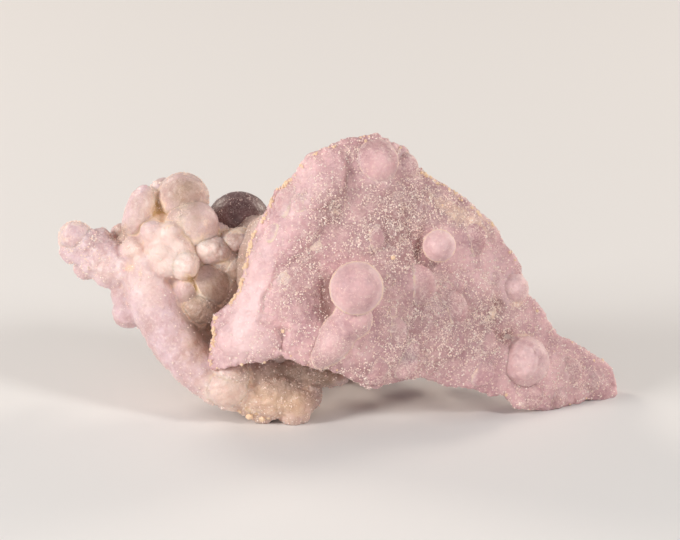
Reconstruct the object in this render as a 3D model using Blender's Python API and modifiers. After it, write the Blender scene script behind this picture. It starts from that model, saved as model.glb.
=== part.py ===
"""A grape chalcedony specimen, 80 mm long, grown as one piece: a druzy plate with
balls on its face and, behind its left edge, a bunch of fingers and balls whose arm
runs down to a sugary foot.

Everything is laid out square on to the plate, in millimetres: x along the specimen,
y into it from the front, z up the plate. The whole is then leaned back until it
stands on its feet, and the origin is put under the middle of its box.
"""

import math
import random

import bmesh
import bpy
import numpy as np
from mathutils import Matrix

# Driving dimensions, in millimetres and degrees
MM = 0.001
LEAN_BACK = 18.0
PLATE_THICK = 6.4
PLATE_RIM = 2.7
RIM_WIDTH = 6.5
RIM_CURL = 1.1
UNDERSIDE_RISE = 0.55
UNDERSIDE_REACH = 13.0
FOOT_FLAT_DEPTH = 0.28

# How finely the surface is worked, in millimetres, triangles and passes
SLAB_GRAIN = 0.6
BODY_GRAIN = 0.45
WELD = 0.001
BODY_TRIANGLES = 9400
SMOOTHING_PASSES = 2
GROUND_BLOCK = 200.0

NODE = "grape_chalcedony"
COLLECTION = "grape_chalcedony_specimen"

# The plate's outline, clockwise from its lower left corner: x, z
PLATE_OUTLINE = (
    (-18.2, 8.5), (-18.0, 10.8), (-17.6, 12.8), (-17.9, 14.2), (-17.3, 15.8),
    (-15.8, 17.0), (-14.1, 19.0), (-13.4, 21.4), (-12.5, 25.7), (-11.8, 27.6),
    (-10.8, 29.3), (-9.8, 30.7), (-8.9, 33.1), (-7.5, 34.1), (-5.7, 35.7),
    (-4.7, 37.6), (-3.7, 38.5), (-0.6, 39.6), (1.0, 40.5), (2.8, 40.6),
    (5.4, 41.3), (6.5, 40.6), (9.4, 39.3), (10.7, 37.6), (10.8, 36.8),
    (14.2, 34.5), (18.0, 32.2), (19.5, 30.7), (22.4, 28.3), (23.2, 26.3),
    (25.7, 23.2), (26.8, 19.2), (29.8, 15.2), (31.8, 12.2), (33.5, 11.8),
    (35.9, 10.1), (39.1, 8.0), (39.8, 5.8), (40.1, 4.1), (39.1, 2.8),
    (35.5, 3.5), (33.0, 2.6), (31.5, 1.5), (30.4, 1.3), (28.4, 2.2),
    (25.0, 2.4), (24.1, 4.3), (22.0, 4.1), (19.5, 5.1), (15.5, 5.7),
    (11.6, 7.1), (9.5, 6.7), (4.5, 5.3), (2.6, 6.5), (-0.1, 7.8),
    (-1.4, 8.5), (-2.7, 8.2), (-5.5, 9.1), (-7.1, 9.7), (-8.1, 10.5),
    (-8.9, 9.7), (-12.5, 9.2), (-16.1, 8.2), (-17.8, 8.1),
)

# How deep the plate's face lies along the specimen: x, y
PLATE_FACE = (
    (-19.0, -5.0), (-15.0, -7.2), (-9.0, -8.9), (-2.0, -9.5), (4.0, -8.4),
    (10.0, -5.8), (16.0, -3.2), (24.0, 0.5), (30.0, 4.6), (36.0, 7.9), (41.0, 10.6),
)
FACE_BLEND = 2.0
FACE_BLEND_STEPS = 9

# Swells and hollows of the plate's face: x, z, half length, half width, tilt, height
PLATE_SWELLS = (
    (-13.0, 17.6, 9.5, 2.3, 15.0, 1.3),
    (-7.0, 29.0, 6.5, 2.6, 35.0, 0.5),
    (-1.1, 33.9, 5.0, 1.9, 5.0, 1.3),
    (1.2, 36.0, 3.6, 1.0, 0.0, -1.3),
    (-2.5, 19.4, 4.2, 1.4, -8.0, -1.3),
    (-8.1, 11.8, 2.8, 0.8, 5.0, -1.3),
    (-5.2, 11.6, 3.0, 2.6, 0.0, 0.6),
    (9.5, 20.7, 3.4, 3.0, 0.0, 0.7),
    (16.6, 21.0, 3.0, 2.4, 40.0, -0.5),
    (10.6, 28.0, 3.2, 1.4, 10.0, -0.6),
    (17.0, 26.3, 3.6, 2.6, 50.0, 0.6),
    (15.0, 13.8, 3.6, 3.2, 0.0, 0.6),
    (4.8, 7.6, 2.4, 3.0, 0.0, 0.9),
    (22.6, 17.2, 1.3, 1.2, 0.0, -1.9),
    (24.0, 12.6, 1.6, 1.4, 60.0, -2.1),
    (20.5, 6.2, 3.0, 2.2, 90.0, 0.6),
    (33.0, 6.5, 2.6, 4.0, 60.0, 0.6),
)

# Low domes all over the face and the back of the plate
DOME_SEED = 7
DOME_COUNT = 150
DOME_RADII = (1.5, 3.3)
DOME_DEPTH = 1.2
DOME_STAND = (0.15, 0.45)
DOME_RIM_GAP = 1.2
BACK_STAND = 0.3

# Balls standing on the plate's face: x, z, radius, how far the centre stands out
PLATE_BALLS = (
    (2.6, 19.6, 3.84, 2.4),
    (2.3, 15.3, 3.1, 1.3),
    (0.3, 12.9, 2.1, 0.5),
    (-2.6, 11.2, 1.9, 0.1),
    (14.3, 25.6, 2.35, 1.3),
    (25.0, 19.6, 2.2, -0.9),
    (26.7, 9.1, 3.5, -0.7),
    (5.3, 37.6, 3.5, -1.5),
    (9.3, 37.0, 1.9, -0.6),
)

# Lumps: x, y, z, half width, half depth, half height, tilt
FINGER = (
    (-37.6, 5.0, 26.7, 2.45, 2.45, 2.45, 0.0),
    (-38.0, 4.6, 24.8, 1.8, 1.9, 1.7, 0.0),
    (-36.0, 4.7, 25.3, 2.8, 2.6, 2.8, 0.0),
    (-34.1, 4.5, 24.1, 3.1, 2.8, 3.1, 0.0),
    (-32.3, 4.2, 22.9, 3.2, 2.8, 3.3, 0.0),
    (-30.4, 3.8, 22.0, 2.8, 2.8, 2.8, 0.0),
    (-31.1, 8.0, 27.3, 1.4, 1.8, 1.4, 0.0),
    (-30.0, 7.0, 25.4, 2.2, 2.6, 2.2, 0.0),
    (-29.9, 4.0, 16.2, 2.3, 2.3, 2.3, 0.0),
    (-30.4, 3.8, 18.6, 2.0, 2.0, 2.2, 0.0),
    (-29.6, 3.4, 20.4, 2.0, 2.0, 2.0, 0.0),
)
BUNCH = (
    (-28.4, 3.2, 30.3, 2.0, 2.8, 4.0, 20.0),
    (-22.4, 4.2, 32.4, 3.7, 3.6, 3.6, 0.0),
    (-25.4, 4.2, 31.0, 2.7, 2.6, 3.1, -20.0),
    (-21.0, 2.2, 28.3, 3.9, 3.7, 3.8, 0.0),
    (-24.9, 0.2, 26.0, 2.8, 2.6, 2.7, 0.0),
    (-23.8, 0.0, 23.2, 2.6, 2.4, 2.5, 0.0),
    (-28.6, 2.6, 25.4, 2.0, 2.2, 1.9, 0.0),
    (-27.4, 1.6, 23.4, 1.9, 2.0, 1.9, 0.0),
    (-26.6, 3.6, 26.8, 2.8, 3.4, 3.6, 0.0),
    (-21.8, -0.8, 23.0, 2.05, 2.0, 2.05, 0.0),
    (-18.0, 2.6, 25.0, 2.6, 2.3, 2.0, 6.0),
    (-14.2, 3.6, 26.1, 3.2, 2.7, 2.0, 0.0),
    (-15.9, 3.4, 25.2, 2.4, 2.2, 2.0, 0.0),
    (-14.6, 4.4, 22.3, 2.2, 2.1, 2.2, 0.0),
    (-17.2, 6.6, 20.6, 4.8, 4.0, 4.6, 0.0),
    (-19.6, 2.8, 16.9, 2.9, 2.8, 2.9, 0.0),
    (-21.4, 1.0, 19.4, 1.7, 1.6, 1.6, 0.0),
    (-19.8, 3.4, 20.2, 2.8, 2.6, 2.8, 0.0),
    (-20.2, 2.0, 11.7, 2.2, 2.4, 2.2, 0.0),
    (-23.4, 4.2, 23.4, 5.4, 4.4, 6.0, 0.0),
    (-18.6, 6.0, 26.6, 3.8, 3.6, 3.4, 0.0),
    (-16.6, 5.6, 15.0, 3.8, 3.4, 4.4, 0.0),
    (-16.2, 4.6, 9.6, 4.0, 3.2, 4.4, 0.0),
)
ARM = (
    (-27.4, 2.0, 20.4, 3.2, 3.0, 3.2, 0.0),
    (-26.6, 1.6, 17.9, 3.35, 3.2, 3.35, 0.0),
    (-25.2, 1.2, 15.0, 3.4, 3.3, 3.4, 0.0),
    (-23.2, 0.7, 12.0, 3.6, 3.4, 3.6, 0.0),
    (-20.9, 0.2, 9.4, 3.5, 3.4, 3.5, 0.0),
    (-18.9, -0.3, 7.4, 3.2, 3.2, 3.2, 0.0),
    (-17.2, -0.6, 6.0, 3.0, 3.0, 2.9, 0.0),
)
FOOT = (
    (-15.2, -2.4, 7.2, 2.6, 2.4, 2.3, 0.0),
    (-15.0, -0.3, 4.4, 2.6, 2.6, 2.2, 0.0),
    (-12.4, 0.8, 3.6, 2.8, 3.0, 2.4, -14.0),
    (-8.9, 0.6, 4.4, 4.6, 3.6, 3.3, 0.0),
    (-6.3, 0.3, 2.25, 2.4, 2.4, 2.3, 0.0),
    (-10.9, 0.6, 1.7, 1.8, 1.9, 1.3, 0.0),
    (-4.2, 1.2, 4.2, 1.9, 2.4, 1.9, 0.0),
    (-5.6, 1.6, 8.0, 5.2, 3.4, 2.9, 0.0),
    (-1.2, 2.6, 7.4, 2.6, 2.8, 1.5, 15.0),
    (-11.0, 1.6, 7.6, 4.6, 4.0, 3.2, 0.0),
)

# The hidden side: the stock behind the plate, its balls, the dark ball, the hind foot
STOCK = (
    (-8.0, 1.6, 22.0, 6.5, 6.2, 8.5, -8.0),
    (-9.0, 2.4, 13.0, 6.0, 5.0, 6.0, 0.0),
    (0.0, 1.8, 21.5, 7.0, 6.4, 8.5, 0.0),
    (0.5, 1.0, 31.0, 5.6, 4.6, 6.0, 0.0),
    (7.6, 2.8, 20.0, 6.0, 5.2, 7.4, 0.0),
    (15.0, 3.4, 17.4, 6.0, 3.8, 6.4, 0.0),
    (22.5, 5.8, 12.8, 5.4, 3.4, 4.8, 0.0),
    (-2.0, 6.6, 14.6, 5.0, 5.0, 4.8, 0.0),
)
HIND_BALLS = (
    (-13.9, 10.6, 29.6, 3.85, 3.85, 3.85, 0.0),
    (-11.6, 7.6, 26.4, 3.6, 4.2, 3.6, 0.0),
    (-6.4, 9.4, 25.4, 3.9, 3.8, 3.9, 0.0),
    (-1.2, 7.6, 29.0, 3.4, 3.2, 3.4, 0.0),
    (0.8, 10.2, 22.4, 4.2, 3.9, 4.2, 0.0),
    (6.6, 8.8, 25.6, 3.2, 3.0, 3.2, 0.0),
    (6.8, 9.2, 18.6, 3.5, 3.4, 3.5, 0.0),
    (12.6, 8.0, 20.6, 3.0, 3.0, 3.0, 0.0),
    (-8.6, 10.0, 18.6, 4.2, 4.0, 4.2, 0.0),
    (-13.4, 9.6, 15.6, 3.2, 3.0, 3.2, 0.0),
    (-4.6, 11.6, 13.6, 3.4, 3.3, 3.4, 0.0),
    (17.6, 8.0, 14.6, 2.6, 2.6, 2.6, 0.0),
    (12.6, 8.8, 14.4, 2.9, 3.2, 2.9, 0.0),
    (14.4, 14.4, 9.4, 2.15, 2.15, 2.15, 0.0),
    (13.4, 11.8, 11.9, 2.2, 2.6, 2.2, 0.0),
    (3.0, 12.6, 15.6, 3.7, 3.6, 3.7, 0.0),
    (2.6, 16.4, 12.6, 3.3, 3.2, 3.3, 0.0),
    (2.0, 19.6, 9.3, 3.1, 3.1, 3.1, 0.0),
    (-23.0, 9.6, 27.2, 3.6, 3.4, 3.6, 0.0),
    (-26.4, 8.4, 22.4, 3.3, 3.2, 3.3, 0.0),
    (-19.0, 11.2, 22.4, 3.7, 3.6, 3.7, 0.0),
    (-22.6, 10.4, 18.4, 3.2, 3.2, 3.2, 0.0),
    (-27.2, 12.6, 16.2, 2.8, 2.8, 2.8, 0.0),
    (-25.2, 10.4, 18.6, 2.6, 2.8, 2.6, 0.0),
    (-22.2, 5.6, 14.6, 3.4, 3.2, 3.6, 0.0),
)


def clear_scene():
    for thing in list(bpy.data.objects):
        bpy.data.objects.remove(thing, do_unlink=True)


def collection(name):
    made = bpy.data.collections.new(name)
    bpy.context.scene.collection.children.link(made)
    return made


def chalcedony():
    """Mauve-pink chalcedony: waxy, a little glossy."""
    made = bpy.data.materials.new("mauve_chalcedony")
    made.use_nodes = True
    shader = made.node_tree.nodes["Principled BSDF"]
    shader.inputs["Base Color"].default_value = (0.52, 0.31, 0.36, 1.0)
    shader.inputs["Roughness"].default_value = 0.42
    shader.inputs["Metallic"].default_value = 0.0
    made.diffuse_color = (0.52, 0.31, 0.36, 1.0)
    return made


def face_depth(x):
    """Depth of the plate's face at x, without its swells."""
    stations, depths = zip(*PLATE_FACE)
    steps = np.linspace(-FACE_BLEND, FACE_BLEND, FACE_BLEND_STEPS)
    return np.mean([np.interp(x + step, stations, depths) for step in steps], axis=0)


def swell(x, z):
    """How far the swells and hollows lift the plate's face at x, z."""
    lift = np.zeros_like(x)
    for centre_x, centre_z, length, width, tilt, height in PLATE_SWELLS:
        turn = math.radians(tilt)
        along = (x - centre_x) * math.sin(turn) + (z - centre_z) * math.cos(turn)
        across = (x - centre_x) * math.cos(turn) - (z - centre_z) * math.sin(turn)
        lift += height * np.exp(-((along / length) ** 2) - (across / width) ** 2)
    return lift


def rim_distance(x, z):
    """How far each point lies from the plate's outline."""
    corners = np.array(PLATE_OUTLINE)
    nearest = np.full(x.shape, np.inf)
    for start, end in zip(corners, np.roll(corners, -1, axis=0)):
        side = end - start
        share = ((x - start[0]) * side[0] + (z - start[1]) * side[1]) / side.dot(side)
        share = np.clip(share, 0.0, 1.0)
        gap = np.hypot(x - start[0] - share * side[0], z - start[1] - share * side[1])
        nearest = np.minimum(nearest, gap)
    return nearest


def smooth_step(value):
    value = np.clip(value, 0.0, 1.0)
    return value * value * (3.0 - 2.0 * value)


def flat_slab():
    """The plate's outline as a flat curve, one millimetre thick each way."""
    curve = bpy.data.curves.new("plate_outline", "CURVE")
    curve.dimensions = "2D"
    curve.fill_mode = "BOTH"
    curve.extrude = 1.0
    spline = curve.splines.new("POLY")
    spline.points.add(len(PLATE_OUTLINE) - 1)
    for point, (x, z) in zip(spline.points, PLATE_OUTLINE):
        point.co = (x, z, 0.0, 1.0)
    spline.use_cyclic_u = True
    return bpy.data.objects.new("plate_outline", curve)


def worked_mesh(thing, home):
    """The mesh that an object's curve or modifiers give; the object itself is removed."""
    home.objects.link(thing)
    bpy.context.view_layer.update()
    evaluated = thing.evaluated_get(bpy.context.evaluated_depsgraph_get())
    mesh = bpy.data.meshes.new_from_object(evaluated)
    bpy.data.objects.remove(thing, do_unlink=True)
    return mesh


def remeshed(mesh, grain, home):
    """One closed skin round everything in the mesh, on a grid of the given grain."""
    thing = bpy.data.objects.new("being_worked", mesh)
    skin = thing.modifiers.new("skin", "REMESH")
    skin.mode = "VOXEL"
    skin.voxel_size = grain
    return worked_mesh(thing, home)


def plate(home):
    """The crust: a slab of the outline, bent along its face and thinned at its rim."""
    outline = worked_mesh(flat_slab(), home)
    work = bmesh.new()
    work.from_mesh(outline)
    bmesh.ops.remove_doubles(work, verts=work.verts, dist=WELD)
    bmesh.ops.scale(work, vec=(1.0, 1.0, PLATE_THICK / 2), verts=work.verts)
    upright = Matrix.Rotation(math.radians(90), 3, "X")
    bmesh.ops.rotate(work, cent=(0, 0, 0), matrix=upright, verts=work.verts)
    bmesh.ops.recalc_face_normals(work, faces=work.faces)
    work.to_mesh(outline)
    work.free()
    mesh = remeshed(outline, SLAB_GRAIN, home)
    count = len(mesh.vertices)
    points = np.empty(count * 3)
    mesh.vertices.foreach_get("co", points)
    points = points.reshape(count, 3)
    x, y, z = points.T
    inward = smooth_step(rim_distance(x, z) / RIM_WIDTH)
    share = np.clip(y / PLATE_THICK + 0.5, 0.0, 1.0)
    thick = PLATE_RIM + (PLATE_THICK - PLATE_RIM) * inward
    front = face_depth(x) - swell(x, z) * inward + RIM_CURL * (1.0 - inward)
    low = smooth_step((UNDERSIDE_REACH - z) / UNDERSIDE_REACH)
    points[:, 1] = front + share * thick
    points[:, 2] = z + share * thick * UNDERSIDE_RISE * low * (1.0 - inward)
    mesh.vertices.foreach_set("co", points.ravel())
    return mesh


def add_lump(work, x, y, z, wide, deep, high, tilt=0.0):
    """A ball or an egg of chalcedony, tilted in the plane of the plate."""
    place = Matrix.Translation((x, y, z))
    turn = Matrix.Rotation(math.radians(tilt), 4, "Y")
    size = Matrix.Diagonal((wide, deep, high, 1.0))
    bmesh.ops.create_icosphere(work, subdivisions=3, radius=1.0, matrix=place @ turn @ size)


def front_depth(x, z):
    """Depth of the finished face at one point."""
    here = np.array([x])
    up = np.array([z])
    inward = smooth_step(rim_distance(here, up) / RIM_WIDTH)
    return float((face_depth(here) - swell(here, up) * inward + RIM_CURL * (1.0 - inward))[0])


def inside_outline(x, z):
    """Whether a point lies within the plate's outline, by counting crossings."""
    inside = False
    for (x1, z1), (x2, z2) in zip(PLATE_OUTLINE, PLATE_OUTLINE[1:] + PLATE_OUTLINE[:1]):
        if (z1 > z) != (z2 > z) and x < x1 + (z - z1) / (z2 - z1) * (x2 - x1):
            inside = not inside
    return inside


def add_domes(work):
    """Low domes paving the plate, on the face and on the back in turn."""
    draw = random.Random(DOME_SEED)
    across, up = zip(*PLATE_OUTLINE)
    placed = 0
    while placed < DOME_COUNT:
        x = draw.uniform(min(across), max(across))
        z = draw.uniform(min(up), max(up))
        radius = draw.uniform(*DOME_RADII)
        stand = draw.uniform(*DOME_STAND)
        gap = float(rim_distance(np.array([x]), np.array([z]))[0])
        if not inside_outline(x, z) or gap < DOME_RIM_GAP:
            continue
        at_back = placed % 2 == 1
        inward = float(smooth_step(np.array([gap / RIM_WIDTH]))[0])
        thick = PLATE_RIM + (PLATE_THICK - PLATE_RIM) * inward
        depth = front_depth(x, z)
        centre = depth + DOME_DEPTH - stand
        if at_back:
            centre = depth + thick - DOME_DEPTH + stand + BACK_STAND
        radius = min(radius, gap)
        add_lump(work, x, centre, z, radius, DOME_DEPTH, radius)
        placed += 1


def specimen_mesh(home):
    """The plate and all its lumps grown together into one skin, still square on."""
    work = bmesh.new()
    slab = plate(home)
    work.from_mesh(slab)
    add_domes(work)
    for x, z, radius, stand in PLATE_BALLS:
        add_lump(work, x, front_depth(x, z) - stand, z, radius, radius, radius)
    for lump in FINGER + BUNCH + ARM + FOOT + STOCK + HIND_BALLS:
        add_lump(work, *lump)
    joined = bpy.data.meshes.new("specimen")
    work.to_mesh(joined)
    work.free()
    return remeshed(joined, BODY_GRAIN, home)


def keep_outer_skin(work):
    """Deletes every loose shell but the largest, so that no hollow stays sealed inside."""
    shells = []
    unseen = set(work.verts)
    while unseen:
        start = unseen.pop()
        shell = [start]
        for vert in shell:
            for edge in vert.link_edges:
                other = edge.other_vert(vert)
                if other in unseen:
                    unseen.remove(other)
                    shell.append(other)
        shells.append(shell)
    shells.sort(key=len)
    inner = [vert for shell in shells[:-1] for vert in shell]
    bmesh.ops.delete(work, geom=inner, context="VERTS")


def stand_up(mesh):
    """Leans the specimen back on its feet, in metres."""
    lean = Matrix.Rotation(math.radians(-LEAN_BACK), 4, "X")
    mesh.transform(Matrix.Scale(MM, 4) @ lean)


def thinned(mesh, home):
    """The skin with its steps smoothed away, brought down to the wanted triangle count."""
    work = bmesh.new()
    work.from_mesh(mesh)
    keep_outer_skin(work)
    axes = {"use_axis_x": True, "use_axis_y": True, "use_axis_z": True}
    for _ in range(SMOOTHING_PASSES):
        bmesh.ops.smooth_vert(work, verts=work.verts, factor=0.5, **axes)
    bmesh.ops.triangulate(work, faces=work.faces)
    triangles = len(work.faces)
    work.to_mesh(mesh)
    work.free()
    thing = bpy.data.objects.new("being_thinned", mesh)
    thin = thing.modifiers.new("thin", "DECIMATE")
    thin.ratio = BODY_TRIANGLES / triangles
    thin.use_collapse_triangulate = True
    return worked_mesh(thing, home)


def ground_block(cutters):
    """The block that trims the feet flat where the specimen rests."""
    work = bmesh.new()
    bmesh.ops.create_cube(work, size=GROUND_BLOCK * MM)
    drop = (FOOT_FLAT_DEPTH - GROUND_BLOCK / 2) * MM
    bmesh.ops.translate(work, vec=(0.0, 0.0, drop), verts=work.verts)
    mesh = bpy.data.meshes.new("ground_block")
    work.to_mesh(mesh)
    work.free()
    block = bpy.data.objects.new("ground_block", mesh)
    block.hide_render = True
    block.display_type = "WIRE"
    cutters.objects.link(block)
    return block


def centre_on_origin(mesh):
    """Puts the origin under the middle of the specimen's box."""
    points = np.empty(len(mesh.vertices) * 3)
    mesh.vertices.foreach_get("co", points)
    points = points.reshape(-1, 3)
    low = points.min(axis=0)
    high = points.max(axis=0)
    middle = (low + high) / 2
    mesh.transform(Matrix.Translation((-middle[0], -middle[1], -low[2])))


def build():
    clear_scene()
    home = collection(COLLECTION)
    cutters = collection("cutters")
    mesh = specimen_mesh(home)
    stand_up(mesh)
    mesh = thinned(mesh, home)
    rough = bpy.data.objects.new("trimmed", mesh)
    trim = rough.modifiers.new("feet", "BOOLEAN")
    trim.operation = "DIFFERENCE"
    trim.solver = "EXACT"
    trim.object = ground_block(cutters)
    mesh = worked_mesh(rough, home)
    centre_on_origin(mesh)
    mesh.name = NODE
    mesh.materials.clear()
    mesh.materials.append(chalcedony())
    mesh.shade_smooth()
    specimen = bpy.data.objects.new(NODE, mesh)
    home.objects.link(specimen)


build()
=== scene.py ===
import math
import random

import bmesh
import bpy
import numpy as np
from mathutils import Matrix, Vector, noise
from mathutils.bvhtree import BVHTree


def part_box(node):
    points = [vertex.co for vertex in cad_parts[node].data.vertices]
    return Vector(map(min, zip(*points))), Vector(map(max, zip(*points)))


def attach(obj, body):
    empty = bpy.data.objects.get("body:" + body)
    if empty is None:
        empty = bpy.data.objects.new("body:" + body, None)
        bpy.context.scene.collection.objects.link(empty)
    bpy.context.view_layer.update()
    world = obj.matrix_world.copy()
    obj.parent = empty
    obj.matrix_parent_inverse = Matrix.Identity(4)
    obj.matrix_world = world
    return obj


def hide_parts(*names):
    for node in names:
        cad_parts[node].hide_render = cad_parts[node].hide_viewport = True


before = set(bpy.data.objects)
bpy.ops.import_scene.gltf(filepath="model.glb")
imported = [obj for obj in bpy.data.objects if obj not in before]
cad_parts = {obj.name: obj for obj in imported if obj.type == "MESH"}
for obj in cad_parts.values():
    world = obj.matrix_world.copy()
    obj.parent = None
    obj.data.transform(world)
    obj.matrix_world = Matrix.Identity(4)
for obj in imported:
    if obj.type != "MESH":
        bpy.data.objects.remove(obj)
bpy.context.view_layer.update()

# The stance. The specimen is one loose piece of grape chalcedony that rests on its own
# lumps. Every form below is laid out square on to its plate, in millimetres (x along it,
# y into it, z up it), and is leaned back on its feet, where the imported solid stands.

NODE = "grape_chalcedony"
BODY = "root"
MM = 0.001
LEAN_BACK = math.radians(18.0)
FOOT_FLAT_DEPTH = 0.28
FINGER_END = (-37.6, 2.45)
HIND_FOOT_REACH = (19.6, 9.3, 3.1)


def stance():
    """Carries the square-on layout, in millimetres, to where the specimen stands."""
    low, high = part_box(NODE)
    hind_y, hind_z, hind_radius = HIND_FOOT_REACH
    reach = hind_y * math.cos(LEAN_BACK) + hind_z * math.sin(LEAN_BACK) + hind_radius
    across = low.x / MM - (FINGER_END[0] - FINGER_END[1])
    back = high.y / MM - reach
    shift = Matrix.Translation((across, back, low.z / MM - FOOT_FLAT_DEPTH))
    return Matrix.Scale(MM, 4) @ shift @ Matrix.Rotation(-LEAN_BACK, 4, "X")


STANCE = stance()

# The plate. A crust of mauve-pink chalcedony about 6 mm thick, grown over a surface
# that has since gone: its face is a pavement of low domes, its rim is a ragged break,
# and balls of the same chalcedony grew on the face.

PLATE_THICK = 6.4
PLATE_RIM = 2.7
RIM_WIDTH = 6.5
RIM_CURL = 1.1
UNDERSIDE_RISE = 0.55
UNDERSIDE_REACH = 13.0
SLAB_GRAIN = 0.4
SKIN_GRAIN = 0.225

PLATE_OUTLINE = (
    (-18.2, 8.5), (-18.0, 10.8), (-17.6, 12.8), (-17.9, 14.2), (-17.3, 15.8),
    (-15.8, 17.0), (-14.1, 19.0), (-13.4, 21.4), (-12.5, 25.7), (-11.8, 27.6),
    (-10.8, 29.3), (-9.8, 30.7), (-8.9, 33.1), (-7.5, 34.1), (-5.7, 35.7),
    (-4.7, 37.6), (-3.7, 38.5), (-0.6, 39.6), (1.0, 40.5), (2.8, 40.6),
    (5.4, 41.3), (6.5, 40.6), (9.4, 39.3), (10.7, 37.6), (10.8, 36.8),
    (14.2, 34.5), (18.0, 32.2), (19.5, 30.7), (22.4, 28.3), (23.2, 26.3),
    (25.7, 23.2), (26.8, 19.2), (29.8, 15.2), (31.8, 12.2), (33.5, 11.8),
    (35.9, 10.1), (39.1, 8.0), (39.8, 5.8), (40.1, 4.1), (39.1, 2.8),
    (35.5, 3.5), (33.0, 2.6), (31.5, 1.5), (30.4, 1.3), (28.4, 2.2),
    (25.0, 2.4), (24.1, 4.3), (22.0, 4.1), (19.5, 5.1), (15.5, 5.7),
    (11.6, 7.1), (9.5, 6.7), (4.5, 5.3), (2.6, 6.5), (-0.1, 7.8),
    (-1.4, 8.5), (-2.7, 8.2), (-5.5, 9.1), (-7.1, 9.7), (-8.1, 10.5),
    (-8.9, 9.7), (-12.5, 9.2), (-16.1, 8.2), (-17.8, 8.1),
)

# How deep the face lies along the specimen: x, y
PLATE_FACE = (
    (-19.0, -5.0), (-15.0, -7.2), (-9.0, -8.9), (-2.0, -9.5), (4.0, -8.4),
    (10.0, -5.8), (16.0, -3.2), (24.0, 0.5), (30.0, 4.6), (36.0, 7.9), (41.0, 10.6),
)
FACE_BLEND = 2.0
FACE_BLEND_STEPS = 9

# Swells and hollows of the face: x, z, half length, half width, height and any tilt
PLATE_SWELLS = (
    (-13.0, 17.6, 9.5, 2.3, 0.6, 15.0),
    (-7.0, 29.0, 6.5, 2.6, 0.5, 35.0),
    (-1.1, 33.9, 5.0, 1.9, 0.6, 5.0),
    (1.4, 36.0, 3.6, 0.9, -0.7),
    (-2.5, 19.4, 4.2, 1.4, -0.9, -8.0),
    (11.2, 24.8, 2.4, 0.8, -0.6, 10.0),
    (-8.1, 11.8, 2.8, 0.8, -1.3, 5.0),
    (-5.2, 11.6, 3.0, 2.6, 0.6),
    (9.5, 20.7, 3.4, 3.0, 0.7),
    (16.6, 21.0, 3.0, 2.4, -0.5, 40.0),
    (10.6, 28.0, 3.2, 1.4, -0.6, 10.0),
    (17.0, 26.3, 3.6, 2.6, 0.6, 50.0),
    (15.0, 13.8, 3.6, 3.2, 0.6),
    (4.8, 7.6, 2.4, 3.0, 0.9),
    (22.6, 17.2, 1.3, 1.2, -1.9),
    (24.0, 12.6, 1.6, 1.4, -2.1, 60.0),
    (20.5, 6.2, 3.0, 2.2, 0.6, 90.0),
    (33.0, 6.5, 2.6, 4.0, 0.6, 60.0),
)

# Steps of the face with a crisp edge, given in the same way
PLATE_LEDGES = (
    (-11.2, 22.4, 4.6, 2.3, 0.75, 14.0),
    (-13.3, 16.4, 5.6, 2.4, 0.75, 10.0),
    (-12.0, 11.4, 3.0, 4.0, 0.85),
    (-2.8, 35.6, 5.0, 3.6, 1.1, 14.0),
    (-5.2, 31.0, 8.0, 3.7, 0.6, 24.0),
    (9.6, 37.0, 2.3, 2.2, 0.4),
    (14.2, 13.4, 4.2, 4.1, 0.35),
    (10.0, 9.0, 3.2, 3.8, 0.35),
    (1.6, 8.4, 2.4, 2.9, 0.45),
    (-4.8, 11.6, 3.0, 2.8, 0.45),
)
LEDGE_EDGE = 0.16
LEDGE_RIM = 2.0

# Low domes strewn over both sides, in millimetres
DOME_SEED = 7
DOME_COUNT = 170
DOME_RADII = (0.9, 2.6)
DOME_DEPTH = 1.2
DOME_STAND = (0.02, 0.15)
DOME_RIM_GAP = 1.0
BACK_STAND = 0.45
BALL_CLEARANCE = 0.6

# Balls grown on the face: x, z, radius, how far the centre stands out of it
PLATE_BALLS = (
    (2.6, 19.6, 3.84, 2.7),
    (14.3, 25.6, 2.35, 1.5),
    (25.0, 19.6, 2.2, -0.9),
    (26.7, 9.1, 3.5, -0.7),
)

# The second ball below the big one and the tongue it runs on as, grown into one: x, z,
# half width, half depth, half length, tilt, and how far the centre is sunk in the face
TONGUE = (
    (2.0, 15.2, 2.9, 2.9, 2.9, 0.0, 0.0),
    (-0.3, 12.6, 2.7, 2.8, 4.5, 31.0, 0.3),
    (-1.9, 10.6, 1.9, 2.2, 2.6, 24.0, 0.2),
)
TONGUE_GRAIN = 0.2
TONGUE_FILL = 0.9

# Flatter domes of the face: x, z, radius at the face, height
FACE_DOMES = (
    (5.0, 37.3, 3.1, 1.35),
    (9.3, 36.8, 1.8, 0.7),
    (-3.1, 26.1, 1.4, 0.22),
    (-6.5, 31.6, 2.1, 0.15),
    (4.5, 26.6, 1.8, 0.18),
    (15.5, 16.5, 2.5, 0.2),
    (7.4, 13.4, 2.1, 0.2),
    (9.5, 10.8, 1.8, 0.2),
    (-6.4, 20.4, 1.9, 0.15),
    (20.4, 12.0, 1.8, 0.2),
    (10.9, 20.0, 2.6, 0.22),
    (7.4, 16.4, 0.8, 0.25),
    (-8.9, 27.2, 1.3, 0.16),
    (18.8, 26.4, 2.1, 0.22),
    (22.0, 20.9, 1.0, 0.3),
    (4.8, 8.2, 2.0, 0.35),
    (8.8, 9.2, 2.2, 0.25),
    (19.9, 7.9, 2.0, 0.25),
    (-5.0, 31.6, 1.2, 0.2),
    (33.0, 7.7, 1.7, 0.35),
    (36.0, 6.2, 1.4, 0.3),
    (27.3, 4.2, 1.8, 0.45),
    (31.0, 4.0, 1.6, 0.4),
)


def smooth_step(value):
    value = np.clip(value, 0.0, 1.0)
    return value * value * (3.0 - 2.0 * value)


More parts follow.
